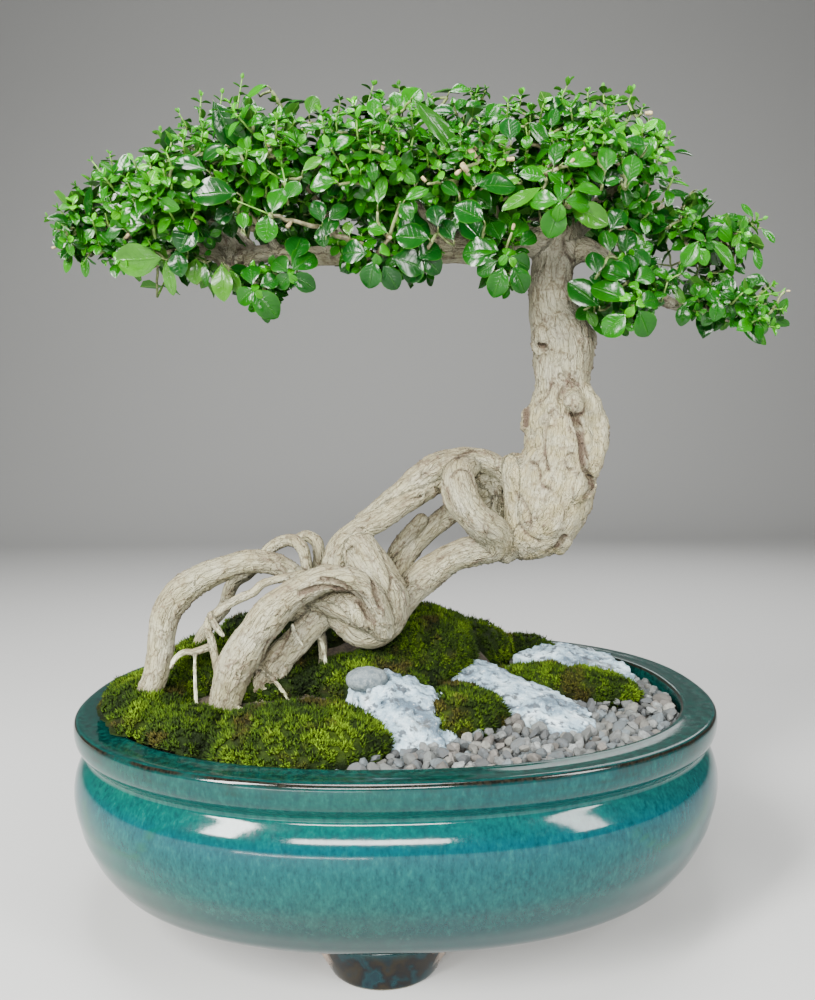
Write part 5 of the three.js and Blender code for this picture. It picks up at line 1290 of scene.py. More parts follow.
pad_names = list(PADS)
pad_c = np.array([PADS[n][0] for n in pad_names], float)
pad_r = np.array([PADS[n][1] for n in pad_names], float)


def pad_metric(p):
    """How deep p lies in each pad: 0 at the middle, 1 on the ellipsoid."""
    return np.sqrt((((np.asarray(p)[:, None, :] - pad_c) / pad_r) ** 2).sum(2))


def front_of_crown(px, py, scale=0.86):
    """The nearest point of the pads' ellipsoids along a ray of the photograph, with its pad and outward normal."""
    w = ray(px, py)
    best = None
    for k in range(len(pad_names)):
        r = pad_r[k] * scale
        o = (EYE - pad_c[k]) / r
        q = w / r
        a, b, c = q @ q, 2 * o @ q, o @ o - 1
        disc = b * b - 4 * a * c
        if disc > 0:
            t = (-b - math.sqrt(disc)) / (2 * a)
            if best is None or t < best[0]:
                p = EYE + w * t
                best = (t, p, unit((p - pad_c[k]) / r**2), k)
    if best is None:
        k = int(np.argmin(np.linalg.norm(project(pad_c) - [px, py], axis=1)))
        p = at_y(px, py, pad_c[k][1])
        return p, unit((p - pad_c[k]) / pad_r[k] ** 2), k
    return best[1], best[2], best[3]


class Leaves:
    def __init__(self):
        self.rows = []

    def add(self, base, axis, normal, length, width, curl, cup, colour, fine, pad, wave):
        self.rows.append((*base, *axis, *normal, length, width, curl, cup, *colour, float(fine), float(pad), wave))


leaves = Leaves()
stems = []  # (points (n, 4), greenness, pad)
bases = []  # where each shoot leaves its twig: point, pad
OLD = [(0.004, 0.048, 0.008), (0.006, 0.060, 0.008), (0.008, 0.074, 0.007), (0.005, 0.054, 0.014)]
MID = [(0.014, 0.135, 0.003), (0.020, 0.170, 0.003), (0.030, 0.215, 0.004), (0.012, 0.120, 0.006)]
LIME = [(0.075, 0.380, 0.004), (0.110, 0.460, 0.005), (0.165, 0.550, 0.007), (0.055, 0.320, 0.004)]


def leaf_colour(age, cool=0.0):
    """age 0 is an old dark leaf, 1 a fresh lime one."""
    pick = rng.integers(4)
    a = np.array(OLD[pick]) * (1 - min(1, age * 2)) + np.array(MID[pick]) * min(1, age * 2) if age < 0.5 else np.array(MID[pick]) * (2 - age * 2) + np.array(LIME[pick]) * (age * 2 - 1)
    if cool:
        a = a * (1 - cool) + np.array([0.004, 0.055, 0.020]) * cool
    return a * rng.uniform(0.85, 1.18)


def shoot(tip, d, size, pairs=4, length=None, age=0.55, phi=None, spread=1.0, fine=True, pad=None, cool=0.0, young=0.35, round_=0.0, bend=0.0):
    """A shoot with crossed pairs of leaves. tip is the end of its stem, d its direction, size the length of its lowest leaves."""
    tip, d = np.asarray(tip, float), unit(d)
    if pad is None:
        pad = int(np.argmin(pad_metric(tip[None])[0]))
    length = size * (0.75 + 0.35 * rng.random()) if length is None else length
    phi = rng.uniform(0, math.pi) if phi is None else phi
    side = unit(np.cross(d, [0.13, 0.2, 1.0] if abs(d[2]) < 0.95 else [1.0, 0.1, 0.1]))
    up = np.cross(side, d)
    sag = np.array([0, 0, -1.0]) * bend
    base = tip - d * length + sag * length * 0.3
    axis_pts = []
    for f in np.linspace(0, 1, 5):
        axis_pts.append(base + (tip - base) * f - sag * length * 0.15 * math.sin(math.pi * f))
    axis_pts = np.array(axis_pts)
    rad = np.linspace(0.62, 0.34, 5) * (size / 11) ** 0.5
    stems.append((np.column_stack([axis_pts, rad]), min(1, 0.35 + age), pad))
    bases.append((base, pad))
    for k in range(pairs):
        f = (k + 1) / pairs
        at = base + (tip - base) * (0.22 + 0.78 * f)
        az = phi + k * math.pi / 2 + rng.normal() * 0.12
        open_ = (1 - f) * 1.0
        rise = math.radians(-8 + 58 * f**1.8) / spread + rng.normal() * 0.10
        ln = size * (1.0 - (1 - young) * f**1.7) * rng.uniform(0.86, 1.1)
        leaf_age = np.clip(age * 0.55 + 0.62 * f**2.2 * (0.35 + age) + rng.normal() * 0.07, 0, 1)
        for s in (0, math.pi):
            if k < pairs - 1 and rng.random() < 0.06:
                continue
            a = az + s + rng.normal() * 0.10
            radial = side * math.cos(a) + up * math.sin(a)
            r2 = rise + rng.normal() * 0.10
            ax = unit(radial * math.cos(r2) + d * math.sin(r2))
            nm = unit(d * math.cos(r2) - radial * math.sin(r2) + rng.normal(size=3) * 0.10)
            nm = unit(nm - (nm @ ax) * ax)
            w = ln * (0.60 + 0.14 * round_) * rng.uniform(0.90, 1.10)
            leaves.add(at, ax, nm, ln, w, (0.30 + 0.55 * open_) * rng.uniform(0.4, 1.4), 0.22 * rng.uniform(0.5, 1.4), leaf_colour(leaf_age, cool), fine, pad, rng.uniform(0, 6.28))


def single(px, py, y, angle, length, width, tilt=0.0, face=0.0, age=0.1, cool=0.0, curl=0.35, pale=0.0, twigged=True):
    """One leaf placed by its middle in the photograph, length and width in pixels. angle is the direction it points in the picture, anticlockwise from the right."""
    per_pixel = (y - EYE[1]) / FOCAL
    length, width = length * per_pixel * 1.06 / math.cos(math.radians(tilt)), width * per_pixel / max(0.5, math.cos(math.radians(face)))
    a = math.radians(angle)
    ax = unit(RIGHT * math.cos(a) + UP * math.sin(a) + FORWARD * math.sin(math.radians(tilt)))
    nm = -FORWARD * math.cos(math.radians(face)) + UP * math.sin(math.radians(face))
    nm = unit(nm - (nm @ ax) * ax)
    mid = at_y(px, py, y)
    base = mid - ax * length * 0.5
    col = leaf_colour(age, cool)
    if pale:
        col = col * (1 - pale) + np.array([0.13, 0.28, 0.07]) * pale
    pad = int(np.argmin(pad_metric(mid[None])[0]))
    leaves.add(base, ax, nm, length, width, curl, 0.18, col, 2, pad, rng.uniform(0, 6.28))
    if twigged:
        q = base - ax * 1.0 + FORWARD * 5.0
        stems.append((np.array([[*q, 0.36], [*(q * 0.5 + base * 0.5 - ax * 0.4), 0.32], [*base, 0.28]]), 0.45, pad))
        bases.append((q, pad))


def picture_dir(dx, dy, toward):
    """A direction that runs (dx, dy) in the picture, y down, and toward the viewpoint."""
    return unit(RIGHT * dx - UP * dy - FORWARD * toward)


placed_px, placed_3d = [], []


def note(p, rad):
    placed_px.append((*project(p), rad))
    placed_3d.append(p)


# rosettes and sprigs that stand out in the photograph: middle in pixels, depth, direction, size, ...
ROSETTES = [
    # px, py, y, dx, dy, toward, leaf length in pixels, pairs, age, extra
    (166, 152, None, -0.3, -0.9, 0.5, 17, 4, 0.75, {}),
    (126, 178, None, -0.2, -0.8, 0.7, 17, 4, 0.75, {}),
    (110, 154, -22, -0.1, -0.9, 0.2, 13, 3, 0.85, {}),
    (169, 211, None, -0.1, -0.35, 0.9, 24, 4, 0.55, {"phi": 0.5}),
    (236, 200, None, -0.5, -0.5, 0.8, 15, 4, 0.95, {"length": 17.0}),
    (202, 124, None, -0.1, -0.6, 0.7, 17, 4, 0.70, {}),
    (224, 153, None, 0.1, -0.3, 0.9, 17, 4, 0.75, {}),
    (281, 141, None, 0.1, -0.8, 0.6, 14, 4, 0.85, {}),
    (281, 160, None, -0.1, -0.5, 0.8, 17, 4, 0.75, {"length": 13.0}),
    (336, 113, None, 0.0, -0.7, 0.6, 15, 4, 0.65, {}),
    (340, 98, -30, 0.1, -1.0, 0.2, 12, 4, 0.40, {}),
    (330, 163, None, 0.0, -0.5, 0.9, 20, 4, 0.60, {"round_": 0.8}),
    (361, 168, None, 0.1, -0.3, 0.95, 20, 4, 0.65, {"round_": 0.9}),
    (370, 128, None, 0.0, -0.9, 0.5, 20, 4, 0.60, {"round_": 0.6}),
    (398, 128, None, -0.1, -0.9, 0.5, 13, 4, 0.75, {}),
    (420, 157, None, 0.1, -0.4, 0.9, 18, 4, 0.70, {"round_": 0.6}),
    (366, 204, None, -0.1, -0.2, 0.95, 21, 4, 0.60, {"round_": 0.8, "phi": 0.9}),
    (397, 204, None, 0.1, -0.2, 0.95, 21, 4, 0.60, {"round_": 0.6}),
    (309, 225, None, 0.0, -0.2, 0.95, 15, 4, 0.70, {"round_": 0.9}),
    (478, 88, -12, -0.1, -1.0, 0.25, 11, 5, 0.50, {}),
    (470, 90, -16, -0.3, -0.9, 0.3, 10, 4, 0.45, {}),
    (486, 88, -14, 0.3, -0.9, 0.3, 10, 4, 0.45, {}),
    (568, 130, None, 0.0, -0.6, 0.8, 19, 4, 0.75, {"round_": 0.8}),
    (592, 125, None, 0.1, -0.6, 0.7, 17, 4, 0.85, {}),
    (604, 141, None, 0.1, -0.5, 0.8, 17, 4, 0.80, {}),
    (526, 148, None, -0.1, -0.8, 0.6, 13, 4, 0.95, {}),
    (504, 147, None, -0.1, -0.8, 0.6, 13, 4, 0.95, {}),
    (546, 165, None, -0.1, -0.5, 0.9, 14, 4, 0.80, {}),
    (427, 153, None, -0.1, -0.5, 0.8, 17, 4, 0.75, {}),
    (431, 134, None, -0.1, -0.8, 0.6, 14, 4, 0.80, {}),
    (472, 184, None, 0.0, -0.2, 1.0, 26, 3, 0.45, {"round_": 1.0, "phi": 0.4}),
    (478, 163, None, 0.1, -0.4, 0.8, 16, 4, 0.75, {"round_": 0.8}),
    (480, 122, None, 0.0, -0.8, 0.6, 19, 4, 0.60, {}),
    (627, 178, None, 0.1, -0.3, 0.9, 21, 4, 0.65, {"round_": 0.5}),
    (614, 100, None, -0.1, -0.9, 0.5, 15, 4, 0.85, {}),
    (643, 107, -25, 0.3, -0.8, 0.5, 12, 4, 0.85, {}),
    (664, 138, -14, 0.5, -0.6, 0.4, 13, 4, 0.75, {}),
    (676, 172, 0, 0.3, -0.9, 0.5, 12, 4, 0.85, {}),
    (406, 194, None, -0.1, -0.3, 0.9, 20, 4, 0.65, {}),
    (687, 212, -18, 0.0, -0.7, 0.8, 17, 4, 0.75, {"round_": 0.9}),
    (696, 221, -20, 0.1, -0.5, 0.8, 17, 4, 0.65, {}),
    (716, 219, -14, 0.2, -0.7, 0.6, 18, 4, 0.65, {}),
    (757, 221, -4, 0.6, -0.6, 0.4, 15, 4, 0.85, {}),
    (753, 243, -8, 0.5, -0.1, 0.6, 17, 4, 0.80, {}),
    (640, 297, -42, 0.3, -0.1, 0.9, 16, 4, 0.90, {"round_": 0.4}),
    (652, 291, -36, 0.4, -0.5, 0.7, 14, 4, 0.85, {}),
    (774, 284, -20, 0.6, -0.5, 0.5, 14, 4, 0.85, {}),
    (784, 309, -22, 0.7, 0.1, 0.5, 13, 4, 0.75, {}),
    (775, 327, -24, 0.4, 0.2, 0.7, 16, 4, 0.80, {}),
    (744, 311, -22, 0.3, -0.2, 0.8, 20, 3, 0.55, {"round_": 0.5}),
    (716, 307, -24, -0.1, -0.3, 0.9, 18, 3, 0.50, {"round_": 0.8}),
    (82, 243, -22, -0.4, -0.3, 0.7, 15, 4, 0.75, {}),
    (98, 242, -28, 0.0, -0.4, 0.8, 15, 4, 0.70, {}),
    (70, 222, -18, -0.5, -0.7, 0.5, 14, 4, 0.80, {}),
    (92, 205, -26, -0.3, -0.8, 0.5, 15, 4, 0.75, {}),
    (148, 240, -38, -0.1, -0.4, 0.8, 15, 4, 0.60, {}),
    (106, 262, -18, -0.3, 0.6, 0.6, 12, 3, 0.60, {}),
]
SPRIGS = [
    # from px, py to px, py, depth, leaf length in pixels, pairs, age
    (237, 110, 242, 79, -20, 13, 3, 0.95), (217, 128, 222, 94, -32, 13, 4, 0.95), (200, 118, 201, 97, -26, 14, 3, 0.85),
    (187, 128, 179, 113, -22, 13, 3, 0.85), (168, 147, 161, 132, -22, 14, 4, 0.80), (200, 152, 203, 128, -48, 15, 4, 0.85),
    (104, 176, 92, 161, -16, 14, 3, 0.85), (86, 203, 76, 186, -14, 14, 4, 0.80), (70, 222, 58, 208, -14, 14, 4, 0.85),
    (64, 226, 48, 217, -12, 12, 3, 0.90), (557, 106, 569, 82, -22, 17, 4, 0.70), (519, 112, 521, 96, -26, 18, 4, 0.70),
    (628, 104, 633, 90, -18, 13, 4, 0.85), (604, 104, 603, 89, -14, 15, 4, 0.65), (402, 100, 399, 86, -28, 14, 4, 0.55),
    (368, 104, 373, 86, -36, 18, 3, 0.55), (668, 148, 669, 136, -8, 12, 3, 0.90), (740, 226, 762, 219, -2, 14, 3, 0.80),
    (728, 302, 781, 292, -22, 13, 4, 0.80), (282, 108, 275, 101, -26, 17, 3, 0.60), (700, 202, 702, 194, 0, 17, 3, 0.55),
    (286, 186, 281, 163, -60, 15, 3, 0.80), (269, 214, 237, 201, -62, 12, 2, 0.95), (92, 250, 84, 262, -16, 13, 2, 0.65), (72, 246, 66, 256, -12, 13, 3, 0.75),
]
SINGLES = [
    # px, py, depth, direction of the tip in degrees, length, width in pixels, tilt back, face up, age, cool, pale
    (227, 127, -58, -62, 46, 26, 20, 15, 0.0, 0.35, 0), (248, 124, -54, 70, 40, 24, 10, 10, 0.02, 0.4, 0), (120, 168, -40, 170, 34, 24, 10, 30, 0.02, 0.5, 0),
    (213, 192, -58, 178, 44, 30, 0, 10, 0.02, 0.15, 0), (188, 163, -56, 160, 36, 18, 0, 25, 0.15, 0.1, 0), (186, 236, -48, 240, 32, 27, 0, 0, 0.02, 0.75, 0),
    (224, 215, -48, 200, 20, 18, 0, 0, 0.02, 0.6, 0), (213, 151, -56, 200, 26, 17, 10, 20, 0.05, 0.3, 0), (137, 260, -34, 184, 46, 29, 0, -25, 0.3, 0.2, 0.55),
    (222, 282, -34, -88, 35, 21, 0, -10, 0.35, 0.25, 0.75), (234, 281, -30, -70, 24, 12, 0, -20, 0.35, 0.3, 0.5), (169, 278, -32, -84, 32, 12, 10, -10, 0.35, 0.1, 0.55),
    (178, 263, -34, -80, 25, 20, 0, 0, 0.03, 0.5, 0), (161, 254, -28, -80, 26, 12, 0, -10, 0.3, 0.2, 0.5), (195, 271, -30, -95, 24, 18, 0, -20, 0.25, 0.3, 0.55),
    (205, 274, -32, -88, 22, 8, 0, 0, 0.2, 0.4, 0.1), (85, 266, -16, -95, 20, 9, 0, 0, 0.5, 0.1, 0.1), (68, 261, -12, -110, 22, 9, 0, 0, 0.55, 0, 0.1),
    (135, 224, -44, 180, 21, 17, 0, 10, 0.35, 0, 0), (113, 232, -40, 200, 18, 14, 0, 10, 0.15, 0.2, 0), (267, 228, -58, -100, 26, 22, 0, 10, 0.45, 0, 0),
    (277, 199, -66, 70, 26, 20, 0, 10, 0.42, 0.05, 0), (293, 189, -66, 60, 20, 17, 0, 10, 0.35, 0, 0), (243, 220, -56, 95, 17, 13, 0, 10, 0.48, 0.25, 0),
    (256, 90, -34, 200, 22, 12, 0, 40, 0.55, 0, 0.1), (295, 102, -26, 30, 26, 9, 10, 60, 0.35, 0, 0), (248, 98, -30, 215, 18, 9, 0, 50, 0.45, 0, 0),
    (262, 152, -50, 184, 22, 11, 0, 50, 0.15, 0.3, 0), (310, 128, -40, 178, 30, 14, 0, 40, 0.2, 0.1, 0.3), (344, 132, -56, 175, 24, 13, 0, 40, 0.2, 0.25, 0),
    (312, 104, -30, 75, 20, 15, 0, 10, 0.2, 0, 0.25), (412, 97, -46, 55, 27, 22, 0, 10, 0.45, 0, 0), (396, 100, -46, 100, 20, 14, 0, 10, 0.3, 0.2, 0),
    (374, 108, -58, 90, 22, 15, 0, 0, 0.45, 0.05, 0), (322, 183, -66, 190, 25, 19, 0, 10, 0.45, 0, 0), (381, 189, -60, 78, 30, 12, 0, 0, 0.3, 0, 0.1),
    (312, 163, -64, 40, 22, 12, 0, 20, 0.2, 0, 0.35), (348, 228, -46, 100, 14, 11, 0, 0, 0.4, 0, 0.9), (377, 229, -52, 160, 20, 15, 0, 10, 0.35, 0.1, 0),
    (438, 124, -60, -45, 66, 19, 5, 25, 0.06, 0.35, 0.18), (412, 236, -52, 170, 32, 28, 0, 10, 0.03, 0.6, 0), (446, 90, -28, 10, 26, 9, 0, 60, 0.2, 0, 0.2),
    (460, 89, -34, 15, 19, 13, 0, 30, 0.35, 0, 0), (474, 107, -50, 120, 17, 14, 0, 10, 0.3, 0.4, 0), (462, 106, -46, 100, 18, 13, 0, 20, 0.15, 0.4, 0),
    (443, 110, -46, 170, 22, 13, 0, 30, 0.1, 0.8, 0), (492, 111, -48, 60, 20, 17, 0, 20, 0.15, 0.4, 0), (510, 128, -62, 95, 24, 22, 0, 5, 0.12, 0.75, 0),
    (554, 117, -60, 75, 22, 12, 0, 5, 0.08, 0.5, 0), (539, 132, -60, -40, 26, 16, 0, 10, 0.2, 0.45, 0), (556, 153, -66, 80, 24, 15, 0, 15, 0.25, 0.5, 0),
    (580, 160, -68, 10, 32, 19, 0, 20, 0.42, 0, 0), (533, 174, -64, 165, 26, 18, 0, 20, 0.28, 0, 0), (556, 177, -62, -30, 19, 15, 0, 10, 0.2, 0.2, 0),
    (497, 184, -62, 5, 38, 24, 0, 15, 0.06, 0.15, 0), (450, 188, -54, 140, 22, 14, 0, 10, 0.1, 0.5, 0), (521, 197, -64, 205, 42, 15, 0, 25, 0.55, 0, 0.35),
    (511, 181, -58, 190, 18, 12, 0, 10, 0.4, 0, 0.8), (590, 214, -62, -28, 42, 22, 0, -20, 0.3, 0.1, 0.4), (589, 189, -68, 3, 27, 15, 0, 25, 0.55, 0, 0),
    (607, 158, -66, 85, 24, 16, 0, 30, 0.3, 0.4, 0), (597, 174, -64, 120, 22, 15, 0, 15, 0.25, 0, 0), (632, 167, -60, 80, 30, 20, 0, 10, 0.35, 0.1, 0),
    (617, 219, -42, 60, 24, 21, 0, 10, 0.04, 0.4, 0), (613, 181, -64, 190, 16, 10, 0, 10, 0.35, 0.7, 0), (637, 225, -30, -30, 24, 14, 0, 30, 0.08, 0.35, 0),
    (666, 215, -20, 175, 28, 14, 0, 30, 0.1, 0.45, 0), (656, 227, -22, 190, 26, 14, 0, 30, 0.05, 0.4, 0), (640, 238, -30, -50, 22, 9, 0, 0, 0.45, 0.1, 0.3),
    (722, 229, -16, -35, 30, 22, 0, 20, 0.45, 0, 0), (738, 218, -6, 180, 22, 8, 0, 40, 0.35, 0.1, 0), (748, 210, -2, 125, 18, 7, 0, 10, 0.45, 0, 0),
    (769, 235, -6, -42, 20, 8, 0, 10, 0.5, 0, 0), (741, 249, -12, -80, 18, 13, 0, 0, 0.6, 0.1, 0), (758, 258, -12, -70, 22, 10, 0, 0, 0.5, 0, 0),
    (691, 254, -26, -120, 26, 20, 0, 0, 0.48, 0, 0), (703, 256, -24, -60, 19, 14, 0, 0, 0.55, 0, 0), (724, 254, -18, -45, 40, 14, 0, 10, 0.32, 0, 0.1),
    (608, 240, -42, 100, 22, 19, 0, 0, 0.25, 0.1, 0), (627, 241, -38, 85, 26, 20, 0, 0, 0.06, 0.35, 0), (595, 262, -44, 100, 23, 19, 0, 0, 0.15, 0.6, 0),
    (642, 257, -38, -40, 22, 15, 0, 0, 0.15, 0.6, 0), (584, 293, -34, 140, 38, 27, 0, 0, 0.0, 0.45, 0), (604, 280, -38, 160, 28, 17, 0, 10, 0.03, 0.35, 0),
    (592, 318, -26, -60, 18, 11, 0, 0, 0.25, 0.6, 0.3), (683, 315, -26, -95, 21, 16, 0, 0, 0.06, 0.25, 0), (678, 293, -24, -48, 28, 10, 0, 0, 0.2, 0.2, 0.45),
    (717, 310, -28, -95, 21, 16, 0, 0, 0.3, 0.1, 0), (713, 297, -26, 120, 18, 13, 0, 0, 0.25, 0.2, 0), (744, 309, -26, 100, 22, 19, 0, 0, 0.3, 0.15, 0),
    (728, 282, -16, -40, 26, 13, 0, 10, 0.25, 0, 0.1), (751, 330, -20, -45, 36, 13, 0, 0, 0.06, 0.25, 0), (757, 334, -16, -40, 30, 11, 0, 0, 0.2, 0, 0.2),
    (758, 280, -16, 165, 22, 13, 0, 10, 0.08, 0.2, 0), (684, 152, -4, 0, 21, 8, 0, 50, 0.3, 0.25, 0), (660, 177, -8, -40, 24, 11, 0, 20, 0.1, 0.1, 0),
    (678, 193, -4, 175, 22, 11, 0, 40, 0.1, 0.1, 0), (703, 200, -2, -60, 22, 10, 0, 10, 0.45, 0, 0), (658, 126, -16, -60, 19, 15, 0, 10, 0.45, 0, 0),
    (436, 215, -50, 100, 22, 20, 0, 0, 0.06, 0.9, 0), (469, 212, -58, 150, 32, 26, 0, 5, 0.03, 0.6, 0), (447, 229, -46, 120, 24, 18, 0, 0, 0.02, 0.6, 0),
    (417, 193, -60, 30, 26, 13, 0, 10, 0.45, 0, 0), (406, 211, -58, -60, 20, 16, 0, 0, 0.3, 0, 0), (472, 229, -44, 130, 30, 24, 0, 0, 0.02, 0.75, 0),
    (645, 150, -40, 60, 22, 16, 0, 10, 0.25, 0.3, 0), (634, 142, -48, 160, 24, 17, 0, 20, 0.15, 0.3, 0), (318, 210, -52, 110, 24, 17, 0, 10, 0.05, 0.4, 0),
    (330, 225, -52, 70, 22, 16, 0, 10, 0.08, 0.4, 0), (322, 236, -50, -80, 20, 15, 0, 0, 0.05, 0.5, 0), (338, 212, -52, 40, 22, 16, 0, 10, 0.1, 0.3, 0),
]
# middle in pixels, depth, age, cool, then each leaf's middle, length and width in pixels
FANS = [
    (254, 291, -40, 0.22, 0.42, [(251, 273, 24, 20), (245, 296, 22, 19), (266, 304, 34, 26), (270, 281, 20, 16), (255, 287, 11, 8), (259, 294, 10, 8)]),
    (290, 275, -40, 0.16, 0.48, [(280, 264, 22, 20), (304, 260, 30, 27), (297, 246, 28, 25), (304, 282, 26, 19), (283, 281, 20, 16), (291, 271, 11, 8), (293, 279, 10, 8)]),
    (376, 256, -48, 0.1, 0.72, [(353, 252, 27, 24), (371, 275, 26, 22), (391, 278, 25, 21), (410, 262, 34, 28), (414, 228, 40, 34), (370, 243, 14, 14), (385, 250, 12, 14), (377, 260, 11, 9)]),
    (423, 256, -45, 0.06, 0.8, [(430, 250, 28, 26), (433, 265, 22, 20), (413, 270, 26, 24)]),
    (506, 257, -48, 0.22, 0.3, [(498, 283, 29, 22), (520, 280, 28, 22), (521, 263, 24, 20), (486, 267, 22, 19), (486, 246, 26, 20), (478, 252, 34, 30), (529, 238, 24, 16), (496, 229, 25, 22), (519, 227, 24, 20), (503, 260, 11, 9), (513, 262, 11, 9), (507, 251, 11, 9)]),
    (634, 306, -46, 0.32, 0.12, [(614, 325, 27, 24), (645, 324, 28, 26), (609, 291, 39, 24), (650, 300, 26, 20), (624, 297, 13, 11), (630, 312, 12, 10), (641, 303, 12, 10)]),
    (632, 283, -44, 0.22, 0.4, [(620, 268, 26, 17), (631, 262, 24, 16), (646, 275, 26, 20), (613, 273, 26, 17), (634, 285, 12, 9)]),
    (560, 203, -68, 0.36, 0.05, [(543, 200, 28, 20), (580, 202, 30, 20), (554, 222, 30, 26), (559, 213, 16, 14), (562, 190, 24, 17), (556, 203, 11, 9)]),
]
# pruning cuts: px, py, depth, direction dx, dy, radius
STUBS = [
    (144, 177, -50, -1.0, 0.1, 2.5), (152, 167, -48, -0.2, -1.0, 1.6), (127, 191, -44, -0.3, 0.3, 1.1), (129, 234, -38, 0.6, -0.5, 1.1), (266, 141, -62, -0.5, -0.8, 1.1),
    (383, 143, -64, 0.1, -1.0, 1.2), (358, 132, -60, -0.5, 0.4, 1.0), (422, 177, -64, -0.6, -0.6, 1.1), (391, 238, -50, 0.4, 0.3, 1.2), (287, 227, -52, -0.4, 0.6, 1.3), (52, 248, -10, -1.0, 0.3, 0.9),
    (479, 141, -64, 0.5, -0.8, 1.4), (470, 149, -64, -0.5, -0.6, 1.9), (462, 164, -65, -0.3, -0.3, 1.8), (456, 174, -64, -0.5, 0.5, 1.3), (514, 159, -64, 1.0, 0.05, 1.3), (652, 113, -30, 1.0, 0.05, 1.4),
    (651, 181, -34, 1.0, 0.3, 0.8), (514, 224, -50, 0.2, -0.9, 1.1), (574, 159, -68, 0.5, -0.5, 1.0), (585, 148, -66, 0.4, -0.4, 1.0), (745, 234, -10, 1.0, -0.1, 1.2), (790, 291, -22, 1.0, 0.1, 0.7),
]
STUBS_3D = []
for px, py, y, dx, dy, rad in STUBS:
    end = at_y(px, py, y)
    STUBS_3D.append((end, picture_dir(dx, dy, 0.25), rad, int(np.argmin(pad_metric(end[None])[0]))))
    bases.append((end - picture_dir(dx, dy, 0.25) * rad * 3.4, STUBS_3D[-1][3]))

for px, py, y, dx, dy, tow, size, pairs, age, extra in ROSETTES:
    q, nrm, k = front_of_crown(px, py)
    p = at_y(px, py, q[1] if y is None else y)
    mm = size * (p[1] - EYE[1]) / FOCAL
    shoot(p, picture_dir(dx, dy, tow), mm * 1.06, pairs, age=age, pad=None, fine=2, **extra)
    note(p, size * 0.62)
for px0, py0, px1, py1, y, size, pairs, age in SPRIGS:
    a, b = at_y(px0, py0, y), at_y(px1, py1, y - rng.uniform(-3, 3))
    shoot(b, b - a, size * (y - EYE[1]) / FOCAL, pairs, length=float(np.linalg.norm(b - a)), age=age, spread=0.75, young=0.45)
    note(b, 9)
# rosettes that face the viewpoint: their leaves are laid out one by one round the middle
for cx, cy, y, age, cool, blades_ in FANS:
    for n_, (mx, my, length, width) in enumerate(blades_):
        out = math.hypot(mx - cx, my - cy)
        turn = math.degrees(math.atan2(cy - my, mx - cx)) if out > 3 else rng.uniform(0, 360)
        small = length < 17
        single(mx, my, y - (2.5 if small else 0) + (n_ % 3) * 0.8, turn, length, width, 16 if not small else 28, rng.normal() * 6, age + (0.45 if small else 0) + rng.normal() * 0.04, cool * (0.3 if small else 1), curl=0.45, twigged=False)
    q = at_y(cx, cy, y + 1.0)
    back = q + FORWARD * 7.0 + np.array([0, 0, 2.0])
    pad = int(np.argmin(pad_metric(q[None])[0]))
    stems.append((np.array([[*back, 0.62], [*(q * 0.5 + back * 0.5), 0.55], [*q, 0.50]]), 0.4, pad))
    bases.append((back, pad))
    note(q, 18)
for px, py, y, angle, length, width, tilt, face, age, cool, pale in SINGLES:
    single(px, py, y, angle, length, width, tilt, face, age, cool, pale=pale)
    note(at_y(px, py, y), length * 0.42)


def crowded(p2, gap):
    if not placed_px:
        return False
    q = np.array(placed_px)
    return bool((np.hypot(q[:, 0] - p2[0], q[:, 1] - p2[1]) < np.maximum(gap, q[:, 2] * 0.62 + gap * 0.25)).any())


# the front of the crown, filled in the picture's plane
def front_fill(gap, inset, jitter, tries, scale, age0, size0, deep=0.0):
    done = []
    cand = rng.uniform([36, 66], [796, 348], (tries, 2))
    ed = edge_distance(OUTLINE, cand)
    ok = (ed > inset) & free_of_windows(cand, 5)
    for w in BARE:
        ok &= edge_distance(w, cand) < 1
    for (px, py), e in zip(cand[ok], ed[ok]):
        if crowded((px, py), gap) if not deep else any(math.hypot(px - a, py - b) < gap for a, b in done):
            continue
        p, n, k = front_of_crown(px, py, scale)
        p = at_y(px, py, min(p[1] + abs(rng.normal()) * jitter + deep, 60))
        size = size0 * math.exp(rng.normal() * 0.16) * (0.80 if e < 18 else 1.0)
        lower = np.clip((py - 190) / 90, 0, 1)
        d = unit(n * 0.55 + np.array([0, 0, 0.62 - 0.55 * lower]) - FORWARD * 0.42 + rng.normal(size=3) * 0.30)
        age = np.clip(age0 + rng.normal() * 0.16 + 0.18 * (e < 18) - 0.30 * lower, 0.0, 1)
        shoot(p, d, size, 3 + (rng.random() < 0.6), age=age, pad=k, fine=deep < 20, young=0.44)
        done.append((px, py))
        if not deep:
            note(p, size / 0.46 * 0.55)
        else:
            placed_3d.append(p)
    return len(done)


n1 = front_fill(14.2 * (1), 7.0, 5.0, 14000, 0.90, 0.62, 10.8)
n2 = front_fill(17.5 * (1), 14.0, 5.0, 9000, 0.86, 0.30, 12.6, deep=11.0)
n4 = front_fill(22.0 * (1), 25.0, 6.0, 6000, 0.84, 0.08, 13.5, deep=24.0)

